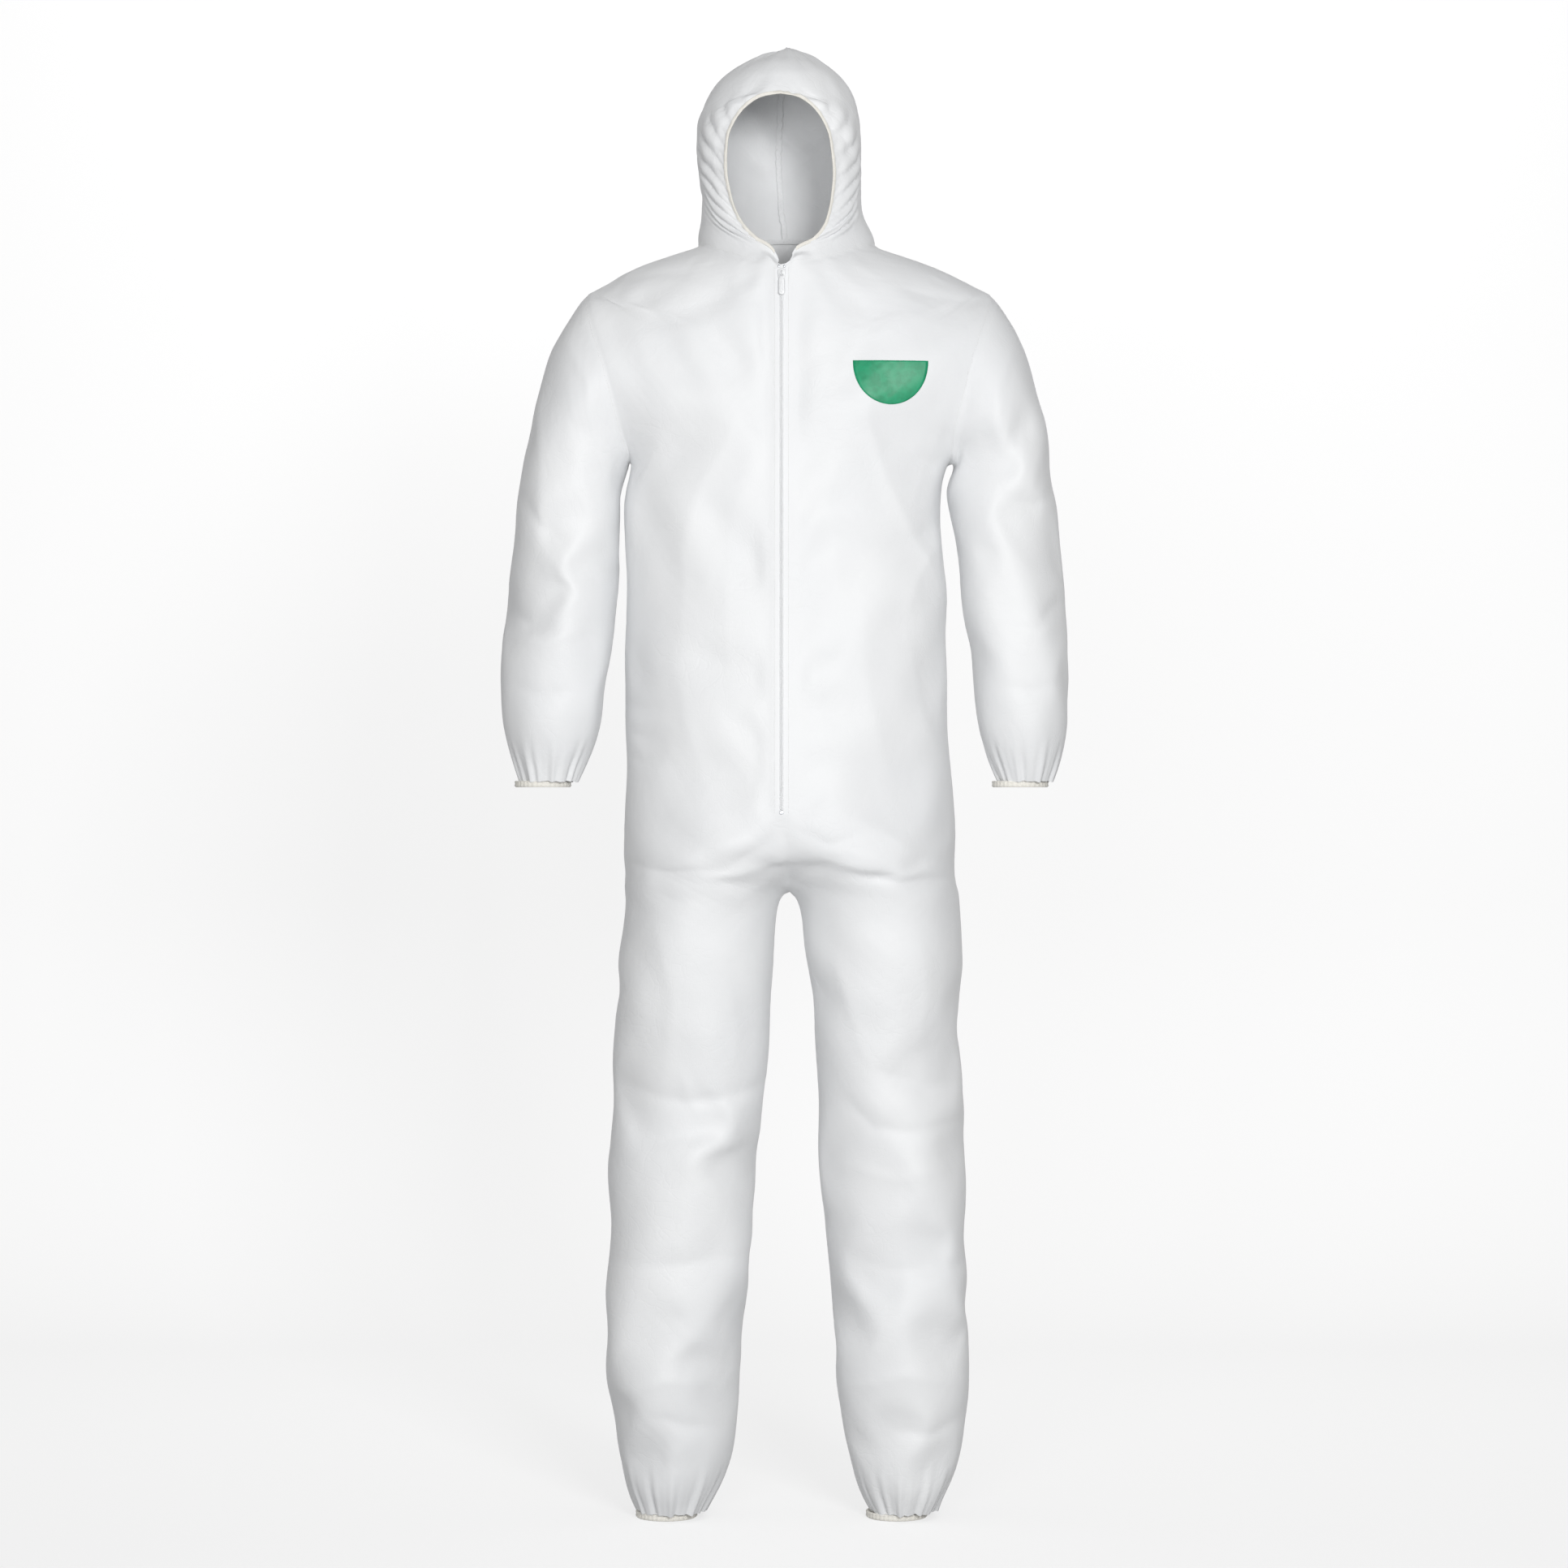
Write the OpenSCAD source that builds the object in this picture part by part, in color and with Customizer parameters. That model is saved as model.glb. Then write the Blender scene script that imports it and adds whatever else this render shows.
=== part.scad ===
// Hooded one-piece protective suit, shown as worn: hood up, zip closed, arms hanging.
// +X is the wearer's left, the front faces -Y, and the ankle elastics stand on z = 0.

/* [Fabric] */
// Thickness of the stand-in fabric wall
wall = 2.4; // [1.6:0.2:3]
// Gap left between pieces that move apart
joint_gap = 1.2; // [0.8:0.1:2]
// Wall points across one body panel
panel_cols = 8; // [6:1:12]
// Wall points round one sleeve
sleeve_cols = 20; // [16:4:28]

/* [Zip] */
// Height of the zip's top end
zip_top = 1530; // [1520:1:1532]
// Height of the zip's bottom end
zip_bottom = 866; // [860:1:900]
// Width of the closed coil
coil_w = 5; // [4:0.5:7]
// Depth of the closed coil
coil_d = 2; // [1.6:0.1:2.4]
// Width of one zip tape beside the coil
tape_w = 12; // [10:1:16]
// Thickness of a zip tape
tape_d = 0.6; // [0.4:0.1:0.8]
// Length of the slider
slider_len = 13; // [11:1:16]
// Length of the pull tab
tab_len = 26; // [20:1:34]

/* [Elastics] */
// Height of the wrist and ankle elastics
elastic_h = 8; // [6:1:10]
// Outer radius of a wrist elastic
wrist_r = 34; // [33:1:36]
// Outer radius of an ankle elastic
ankle_r = 37; // [36:1:39]
// Thickness of an elastic
elastic_d = 2.4; // [1.6:0.2:3]

/* [Patch] */
// Width of the chest patch
patch_w = 92; // [70:1:100]
// Thickness of the chest patch
patch_d = 0.8; // [0.6:0.1:1.2]

/* [Hidden] */

fabric = "whitesmoke";
band = "ivory";

// Hinge lines, as [y, z] for the joints that turn about X
hip_pivot = [-50, 748];
knee_pivot = [55, 490];
elbow_pivot = [-45, 1070];
// How far each edge is cut back per millimetre beyond its hinge line
hip_notch = tan(45 / 2);
knee_notch = tan(70 / 2);
elbow_notch = tan(70 / 2);

// The zip and the centre front lie on one straight line that leans forward as it goes down
front_top_y = -105;
front_lean = 33 / 668;
function front_y(z) = front_top_y - (1533 - z) * front_lean;
zip_angle = atan(front_lean);

// Rows of the left half of the body, from the neck down. Each row is
// [z at the centre front, z at the side, z at the centre back, centre x, half-width, back depth, notch]
shoulder_rows = [
    [1533, 1566, 1580, 0, 112, 92, 0],
    [1512, 1555, 1556, 0, 158, 100, 0],
    [1488, 1538, 1526, 0, 202, 106, 0],
    [1462, 1507, 1494, 0, 250, 112, 0]
];
// Rows that end at the armhole edge, whose side heights run down the armhole
armhole_rows = [
    [1446, 1492, 1478, 0, 0, 114, 0],
    [1425, 1462, 1450, 0, 0, 117, 0],
    [1395, 1420, 1412, 0, 0, 119, 0],
    [1360, 1375, 1370, 0, 0, 120, 0],
    [1325, 1332, 1330, 0, 0, 119, 0],
    [1303, 1306, 1305, 0, 0, 118, 0]
];
trunk_rows = [
    [1296, 1297, 1296, 0, 195, 118, 0],
    [1240, 1240, 1240, 0, 191, 114, 0],
    [1180, 1180, 1180, 0, 192, 111, 0],
    [1100, 1100, 1100, 0, 195, 109, 0],
    [1020, 1020, 1020, 0, 197, 112, 0],
    [950, 950, 950, 0, 199, 120, 0],
    [895, 895, 895, 4, 199, 127, 0],
    [860, 860, 860, 24, 181, 131, 0],
    [832, 832, 832, 58, 147, 131, 0],
    [808, 808, 808, 82, 124, 129, 0.35],
    [788, 788, 788, 97, 110, 126, 0.6],
    [772, 772, 772, 103, 105, 123, 0.8],
    [749, 749, 749, 108, 101, 120, 1]
];
// Leg rows: [z, centre x, half-width, front depth, back depth, centre y, notch]
thigh_rows = [
    [hip_pivot[1] - joint_gap, 108, 101, 119, 119, 0, -1],
    [698, 114, 97, 112, 115, 0, 0],
    [638, 118, 93.5, 106, 110, 0, 0],
    [578, 121, 93, 101, 104, 0, 0],
    [535, 123.5, 91.5, 98, 99, 0, 0],
    [knee_pivot[1] + joint_gap / 2, 126, 91, 95, 95, 0, 1]
];
shin_rows = [
    [knee_pivot[1] - joint_gap / 2, 126, 91, 95, 95, 0, -1],
    [448, 128, 91, 94, 94, 1, 0],
    [398, 131, 90, 93, 95, 2, 0],
    [338, 133, 87, 91, 97, 4, 0],
    [278, 137, 86, 90, 96, 6, 0],
    [218, 139, 83, 88, 93, 8, 0],
    [158, 141, 81, 85, 89, 9, 0],
    [98, 140, 73, 76, 80, 10, 0],
    [68, 140.5, 67.5, 69, 73, 10, 0],
    [38, 141, 59, 60, 63, 10, 0],
    [elastic_h + 0.4, 142, 43, 43, 45, 10, 0]
];
ankle_x = 142;
ankle_y = 10;

// Sleeve rings: [inner x, inner z, outer x, outer z, half-depth, notch at the outer side, notch in front]
armhole = [196, 1298, 250, 1507, 84];
shoulder_ring = [197, 1262, 309, 1378, 88];
shoulder_notch = 14;
head_rings = [
    [armhole[0] + 0.6, armhole[1], armhole[2] + 0.6, armhole[3], armhole[4], 0, 0],
    [196.8, 1289, 279, 1463, 87, 0, 0],
    [197, 1276, 296, 1428, 88, 0, 0],
    [shoulder_ring[0], shoulder_ring[1], shoulder_ring[2], shoulder_ring[3], shoulder_ring[4], 1, 0]
];
upper_rings = [
    [shoulder_ring[0] + 0.4, shoulder_ring[1] - joint_gap, shoulder_ring[2] + 0.8,
        shoulder_ring[3] - joint_gap * 1.4, shoulder_ring[4], -1, 0],
    [199, 1240, 322, 1322, 86, 0, 0],
    [203, 1204, 333, 1246, 81, 0, 0],
    [209, 1160, 342, 1168, 77, 0, 0],
    [214, 1115, 346, 1115, 75, 0, 0],
    [219, elbow_pivot[1] + joint_gap / 2, 349, elbow_pivot[1] + joint_gap / 2, 74, 0, 1]
];
lower_rings = [
    [219, elbow_pivot[1] - joint_gap / 2, 349, elbow_pivot[1] - joint_gap / 2, 74, 0, -1],
    [225, 1026, 350.5, 1026, 71, 0, 0],
    [231, 980, 349, 980, 66, 0, 0],
    [240, 942, 342, 942, 55, 0, 0],
    [251, 922, 335, 922, 44, 0, 0],
    [257, 900 + elastic_h + 0.4, 330, 900 + elastic_h + 0.4, 39, 0, 0]
];
wrist = [294, 0, 900];

// Rows of the left half of the hood, from the neck up: [z front, z side, z back, half-width, front, back, centre y]
hood_pivot = [70, 1580];
hood_rows = [
    [1536, 1571, 1602, 111, 100, 92, 0],
    [1552, 1584, 1614, 102, 100, 96, 1],
    [1572, 1600, 1626, 98, 99, 100, 2],
    [1602, 1624, 1643, 98.5, 97, 106, 4],
    [1640, 1652, 1664, 100, 96, 111, 5],
    [1678, 1682, 1686, 101.5, 95, 114, 6],
    [1708, 1708, 1708, 100, 93, 114, 7],
    [1732, 1730, 1728, 96.5, 90, 110, 8],
    [1750, 1748, 1746, 92, 86, 105, 9],
    [1768, 1766, 1764, 84, 78, 96, 10],
    [1790, 1788, 1787, 66, 62, 78, 12],
    [1803, 1802, 1801, 41, 40, 50, 14],
    [1810, 1810, 1810, 0, 0, 0, 16]
];
// Face opening in the front view: centre height, half-height and half-width
face_z = 1642;
face_h = 101;
face_w = 64;

function lerp(a, b, t) = a + (b - a) * t;
function sq(v) = v * v;
function unit(v) = v / norm(v);

// Solid wall between an outer and an inner grid of points [row][column]. flip turns it inside out,
// closed joins the last column to the first, and pole joins the last row to one point.
module skin(outer, inner, flip = false, closed = false, pole = false) {
    rows = len(outer);
    cols = len(outer[0]);
    function id(side, i, j) = side * rows * cols + i * cols
        + (pole && i == rows - 1 ? 0 : closed ? j % cols : j);
    spans = closed ? cols : cols - 1;
    last = rows - 1;
    edge = cols - 1;
    quads = concat(
        [for (i = [0:last - 1]) for (j = [0:spans - 1])
            [id(0, i, j), id(0, i + 1, j), id(0, i + 1, j + 1), id(0, i, j + 1)]],
        [for (i = [0:last - 1]) for (j = [0:spans - 1])
            [id(1, i, j), id(1, i, j + 1), id(1, i + 1, j + 1), id(1, i + 1, j)]],
        [for (j = [0:spans - 1]) [id(0, 0, j), id(0, 0, j + 1), id(1, 0, j + 1), id(1, 0, j)]],
        pole ? [] : [for (j = [0:spans - 1])
            [id(0, last, j + 1), id(0, last, j), id(1, last, j), id(1, last, j + 1)]],
        closed ? [] : [for (i = [0:last - 1]) [id(0, i, 0), id(1, i, 0), id(1, i + 1, 0), id(0, i + 1, 0)]],
        closed ? [] : [for (i = [0:last - 1])
            [id(0, i + 1, edge), id(1, i + 1, edge), id(1, i, edge), id(0, i, edge)]]
    );
    triangles = [
        for (q = quads) for (t = [[q[0], q[1], q[2]], [q[0], q[2], q[3]]])
            if (t[0] != t[1] && t[1] != t[2] && t[0] != t[2]) flip ? [t[0], t[1], t[2]] : [t[0], t[2], t[1]]
    ];
    polyhedron([for (g = [outer, inner]) for (row = g) each row], triangles);
}

// One row of a body panel from the centre to the side; sign is -1 for the front and 1 for the back.
// The row lies inset millimetres inside the outer face, and drop is how far an inner row sinks.
function trunk_row(r, sign, armhole_row, inset, drop) =
    let (
        zc = (sign < 0 ? r[0] : r[2]) - drop,
        zs = r[1] - drop,
        depth = (sign < 0 ? -front_y(max(r[0], zip_bottom - 20)) - max(0, 832 - r[0]) * 0.14 : r[5]) - inset,
        reach = armhole_row ? armhole[4] * sqrt(max(0.01, 1 - sq((zs - 1402.5) / 104.6))) - inset : 0,
        edge_x = armhole[0] + (zs - armhole[1]) * (armhole[2] - armhole[0]) / (armhole[3] - armhole[1]),
        outer = asin(reach / depth),
        half = armhole_row ? edge_x / cos(outer) : r[4] - inset,
        inner = acos(max(-1, -r[3] / half))
    )
    [for (j = [0:panel_cols]) let (
        a = lerp(inner, outer, j / panel_cols),
        rise = (sq(sin(a)) - sq(sin(outer))) / (1 - sq(sin(outer))),
        x = j == 0 && inner < 179 ? 0 : r[3] + half * cos(a),
        y = sign * depth * sin(a),
        notch = r[6] * hip_notch * max(0, hip_pivot[0] - y)
    ) [x, y, lerp(zs, zc, rise) + notch]];

function leg_row(r, sign, notch_y, notch_slope, inset) =
    [for (j = [0:panel_cols]) let (
        a = lerp(180, 0, j / panel_cols),
        y = r[5] + sign * ((sign < 0 ? r[3] : r[4]) - inset) * sin(a),
        beyond = notch_y < 0 ? max(0, notch_y - y) : max(0, y - notch_y)
    ) [r[1] + (r[2] - inset) * cos(a), y, r[0] + r[6] * notch_slope * beyond]];

// A sleeve ring runs from its inner point to its outer point, so an inner ring shrinks towards its middle
function sleeve_ring(r, inset) =
    let (long = norm([r[2] - r[0], r[3] - r[1]]), cut = inset / long)
    [for (j = [0:sleeve_cols - 1]) let (
        a = 360 * j / sleeve_cols,
        t = (1 + cos(a) * (1 - 2 * cut)) / 2,
        y = -(r[4] - inset) * sin(a),
        outer = r[5] * shoulder_notch * max(0, (t - 0.85) / 0.15),
        front = r[6] * elbow_notch * max(0, elbow_pivot[0] - y)
    ) [lerp(r[0], r[2], t) - outer * 0.4, y, lerp(r[1], r[3], t) + outer * 0.9 + front]];

// A hood row runs from the face opening or the centre front round to the centre back
function hood_row(r, inset) =
    let (
        lean = min(1, max(0, (r[1] - 1700) / 110)),
        side_in = inset * sqrt(1 - sq(lean)),
        half = max(0, r[3] - side_in),
        edge = (r[0] > face_z - face_h && r[0] < face_z + face_h)
            ? face_w * sqrt(1 - sq((r[0] - face_z) / face_h)) : 0,
        first = half > 0 ? acos(edge / half) : 90
    )
    [for (j = [0:panel_cols + 2]) let (
        a = lerp(-first, 90, j / (panel_cols + 2)),
        depth = sin(a) < 0 ? r[4] : r[5],
        rise = sin(a) < 0 ? (r[0] - r[1]) * sq(sin(a) / sin(first)) : (r[2] - r[1]) * sq(sin(a))
    ) [
        (j == 0 && edge == 0) || j == panel_cols + 2 ? 0 : half * cos(a),
        r[6] + max(0, depth - side_in) * sin(a),
        r[1] + rise - inset * lean
    ]];

module on_side(side) {
    if (side == "left") children();
    else mirror([1, 0, 0]) children();
}

function trunk_grid(sign, inset) = concat(
    [for (r = shoulder_rows) trunk_row(r, sign, false, inset, inset)],
    [for (r = armhole_rows) trunk_row(r, sign, true, inset, inset * 0.3)],
    [for (r = trunk_rows) trunk_row(r, sign, false, inset, 0)]
);

module trunk_panel(side, sign) {
    color(fabric) on_side(side) skin(trunk_grid(sign, 0), trunk_grid(sign, wall), flip = sign > 0);
}

module leg_panel(side, sign, rows, notch_y, notch_slope) {
    color(fabric) on_side(side) skin(
        [for (r = rows) leg_row(r, sign, notch_y, notch_slope, 0)],
        [for (r = rows) leg_row(r, sign, notch_y, notch_slope, wall)],
        flip = sign > 0
    );
}

// Row k of a list of leg rows without its notch
function plain(rows, keep) = [for (i = [0:len(rows) - 1]) let (r = rows[i])
    [r[0], r[1], r[2], r[3], r[4], r[5], i == keep ? r[6] : 0]];

module thigh(side, sign) {
    if (sign < 0) leg_panel(side, sign, plain(thigh_rows, 0), hip_pivot[0], hip_notch);
    else leg_panel(side, sign, plain(thigh_rows, len(thigh_rows) - 1), knee_pivot[0], knee_notch);
}

module shin(side, sign) {
    leg_panel(side, sign, plain(shin_rows, sign < 0 ? -1 : 0), knee_pivot[0], knee_notch);
}

module sleeve(side, rings) {
    color(fabric) on_side(side) skin(
        [for (r = rings) sleeve_ring(r, 0)],
        [for (r = rings) sleeve_ring(r, wall)],
        closed = true, flip = true
    );
}

module elastic_ring(side, centre, radius) {
    color(band) on_side(side) translate(centre)
        rotate_extrude($fn = 48) translate([radius - elastic_d, 0]) square([elastic_d, elastic_h]);
}

// Places a child on the leaning centre-front line: x across, y out of the front, z up, from a given height
module on_zip(z) {
    translate([0, front_y(z), z]) rotate([-zip_angle, 0, 0]) children();
}

zip_len = (zip_top - zip_bottom) / cos(zip_angle);
// The coil lies this far in front of the fabric, and the tapes this far behind its outer face
zip_out = -1.2;
tape_back = wall + 1.6;

module zip_tape(side) {
    color(fabric) on_side(side) on_zip(zip_bottom)
        translate([coil_w / 2, tape_back, 0]) cube([tape_w, tape_d, zip_len]);
}

module zip_coil() {
    color("white") on_zip(zip_bottom) translate([-coil_w / 2, zip_out - coil_d, 6]) cube([coil_w, coil_d, zip_len - 10]);
}

module zip_top_stops() {
    color("silver") on_zip(zip_top) for (x = [-1, 1])
        translate([x * 2.2 - 1.2, zip_out - coil_d - 0.4, -3.6]) cube([2.4, coil_d + 0.8, 3.2]);
}

module zip_bottom_stop() {
    color("dimgray") on_zip(zip_bottom) translate([-2.4, zip_out - coil_d - 0.5, 1.6]) cube([4.8, coil_d + 1, 4]);
}

slider_top = 5.2;
slider_w = coil_w + 4;
slider_wall = 1.1;
slider_play = 0.25;

module zip_slider() {
    color("whitesmoke") on_zip(zip_top) translate([0, zip_out - coil_d / 2, -slider_top - slider_len]) {
        difference() {
            translate([-slider_w / 2, -coil_d / 2 - slider_play - slider_wall, 0])
                cube([slider_w, coil_d + 2 * slider_play + slider_wall, slider_len]);
            translate([-coil_w / 2 - slider_play, -coil_d / 2 - slider_play, -1])
                cube([coil_w + 2 * slider_play, coil_d + 4 * slider_play + slider_wall, slider_len + 2]);
        }
        bridge();
    }
}

bridge_h = 3.4;
pin_r = 0.9;
hole_r = pin_r + 0.05;
pin_z = slider_len * 0.55;
module bridge() {
    y0 = -coil_d / 2 - slider_play - slider_wall;
    for (x = [-1, 1]) translate([x * 2.6 - 0.6, y0 - bridge_h, pin_z - 2]) cube([1.2, bridge_h + 0.2, 4]);
    translate([-2.6, y0 - bridge_h / 2 - 0.4, pin_z]) rotate([0, 90, 0]) cylinder(h = 5.2, r = pin_r, $fn = 24);
}

tab_w = 7;
tab_d = 1.4;
module pull_tab() {
    y0 = zip_out - coil_d - slider_play - slider_wall - bridge_h / 2 - 0.4;
    color("whitesmoke") on_zip(zip_top) translate([0, y0, -slider_top - slider_len + pin_z]) {
        difference() {
            union() {
                rotate([0, 90, 0]) translate([0, 0, -1.8]) cylinder(h = 3.6, r = 1.8, $fn = 32);
                translate([-1.8, -tab_d / 2, -6]) cube([3.6, tab_d, 6]);
                translate([-tab_w / 2, -tab_d / 2, -tab_len]) cube([tab_w, tab_d, tab_len - 5.4]);
            }
            rotate([0, 90, 0]) translate([0, 0, -4]) cylinder(h = 8, r = hole_r, $fn = 32);
        }
    }
}

// Half-round patch on the wearer's left breast, flat side up, bent to the chest
patch_x = 128;
patch_top = 1414;
patch_lift = 2.5;
patch_half = 345;
patch_steps = 14;
patch_depth = 111;
function chest(x, z) = [x, -patch_depth * sqrt(1 - sq(x / patch_half)) - (patch_top - z) * front_lean - patch_lift, z];

module chest_patch() {
    r = patch_w / 2;
    long = r * 1.18;
    grid = [for (k = [0:5]) let (drop = long * k / 5)
        [for (j = [0:patch_steps]) let (
            half = r * sqrt(max(0.02, 1 - sq(drop / (long * 1.01)))),
            x = patch_x + lerp(-half, half, j / patch_steps)
        ) chest(x, patch_top - drop)]];
    color("seagreen") skin(grid, [for (row = grid) [for (p = row) p + [0, patch_d, 0]]]);
}

// Elastic sewn inside the small of the back, from side to side
waist_z = 950;
waist_gap = 2;
function waist_arc(z, inset) = [for (j = [0:panel_cols * 2]) let (a = lerp(20, 160, j / (panel_cols * 2)))
    [(199 - inset) * cos(a), (120 - inset) * sin(a), z]];
module waist_elastic() {
    levels = [waist_z + 12, waist_z - 12];
    outer = wall + waist_gap;
    color(band) skin([for (z = levels) waist_arc(z, outer)], [for (z = levels) waist_arc(z, outer + elastic_d)]);
}

module hood_panel(side) {
    color(fabric) on_side(side)
        skin([for (r = hood_rows) hood_row(r, 0)], [for (r = hood_rows) hood_row(r, wall)], pole = true, flip = true);
}

// Band round the face opening, just inside the hood's edge
band_w = 4;
band_gap = 1;
function face_side() = [for (r = hood_rows) if (r[0] < face_z + face_h) hood_row(r, 0)[0]];
function toward(p, d) = p + unit([-p[0], 0, face_z - p[2]]) * d;
module face_elastic() {
    left = face_side();
    count = len(left);
    brow = hood_row(hood_rows[count], 0)[0];
    edge = concat(left, [brow], [for (i = [count - 1:-1:1]) [-left[i][0], left[i][1], left[i][2]]]);
    front = [for (d = [band_gap, band_gap + band_w]) [for (p = edge) toward(p, d)]];
    color(band) skin(front, [for (row = front) [for (p = row) p + [0, elastic_d, 0]]], closed = true, flip = true);
}

trunk_panel("left", -1);  // left_front_panel
trunk_panel("right", -1);  // right_front_panel
trunk_panel("left", 1);  // left_back_panel
trunk_panel("right", 1);  // right_back_panel
sleeve("left", head_rings);  // left_sleeve_head
sleeve("right", head_rings);  // right_sleeve_head
zip_tape("left");  // left_zip_tape
zip_tape("right");  // right_zip_tape
zip_coil();
zip_top_stops();
zip_bottom_stop();
waist_elastic();
chest_patch();
zip_slider();
pull_tab();
hood_panel("left");  // left_hood_panel
hood_panel("right");  // right_hood_panel
face_elastic();
sleeve("left", upper_rings);  // left_upper_sleeve
sleeve("right", upper_rings);  // right_upper_sleeve
sleeve("left", lower_rings);  // left_lower_sleeve
sleeve("right", lower_rings);  // right_lower_sleeve
elastic_ring("left", wrist, wrist_r);  // left_wrist_elastic
elastic_ring("right", wrist, wrist_r);  // right_wrist_elastic
thigh("left", -1);  // left_front_thigh
thigh("left", 1);  // left_back_thigh
thigh("right", -1);  // right_front_thigh
thigh("right", 1);  // right_back_thigh
shin("left", -1);  // left_front_shin
shin("left", 1);  // left_back_shin
shin("right", -1);  // right_front_shin
shin("right", 1);  // right_back_shin
elastic_ring("left", [ankle_x, ankle_y, 0], ankle_r);  // left_ankle_elastic
elastic_ring("right", [ankle_x, ankle_y, 0], ankle_r);  // right_ankle_elastic
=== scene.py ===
import math

import bmesh
import bpy
import numpy as np
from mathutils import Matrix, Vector
from mathutils.bvhtree import BVHTree


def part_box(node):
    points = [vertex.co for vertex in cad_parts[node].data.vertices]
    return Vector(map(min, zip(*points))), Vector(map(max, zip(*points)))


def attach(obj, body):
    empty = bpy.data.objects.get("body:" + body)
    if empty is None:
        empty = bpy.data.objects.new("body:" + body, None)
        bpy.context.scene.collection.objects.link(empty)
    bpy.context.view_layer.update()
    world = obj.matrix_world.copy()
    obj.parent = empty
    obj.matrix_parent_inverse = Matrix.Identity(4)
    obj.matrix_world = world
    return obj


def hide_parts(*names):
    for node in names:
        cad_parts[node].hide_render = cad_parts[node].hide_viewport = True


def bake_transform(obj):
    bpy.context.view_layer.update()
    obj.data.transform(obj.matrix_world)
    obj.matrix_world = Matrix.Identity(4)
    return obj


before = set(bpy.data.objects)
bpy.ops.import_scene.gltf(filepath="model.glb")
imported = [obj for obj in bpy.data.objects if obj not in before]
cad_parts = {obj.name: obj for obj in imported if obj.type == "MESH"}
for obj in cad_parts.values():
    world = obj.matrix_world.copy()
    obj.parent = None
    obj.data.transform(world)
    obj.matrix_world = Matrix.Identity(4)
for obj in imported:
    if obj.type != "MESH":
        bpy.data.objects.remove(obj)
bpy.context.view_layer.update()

sides = ("left", "right")
across = {"left": 1, "right": -1}


# A smooth curve through a table of (place, value) pairs that never overshoots them
def through(table, x):
    xs, ys = np.array(table, float).T
    if xs[0] > xs[-1]:
        xs, ys = xs[::-1], ys[::-1]
    step = np.diff(xs)
    slope = np.diff(ys) / step
    tangent = np.zeros(len(xs))
    tangent[0], tangent[-1] = slope[0], slope[-1]
    for i in range(1, len(xs) - 1):
        if slope[i - 1] * slope[i] > 0:
            tangent[i] = 2 * slope[i - 1] * slope[i] / (slope[i - 1] + slope[i])
    x = np.clip(x, xs[0], xs[-1])
    i = np.clip(np.searchsorted(xs, x, side="right") - 1, 0, len(step) - 1)
    t = (x - xs[i]) / step[i]
    return ((1 + 2 * t) * (1 - t) ** 2 * ys[i] + t * (1 - t) ** 2 * step[i] * tangent[i]
            + t * t * (3 - 2 * t) * ys[i + 1] + t * t * (t - 1) * step[i] * tangent[i + 1])


def smooth(x, low, high):
    t = np.clip((x - low) / (high - low), 0, 1)
    return t * t * (3 - 2 * t)


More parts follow.
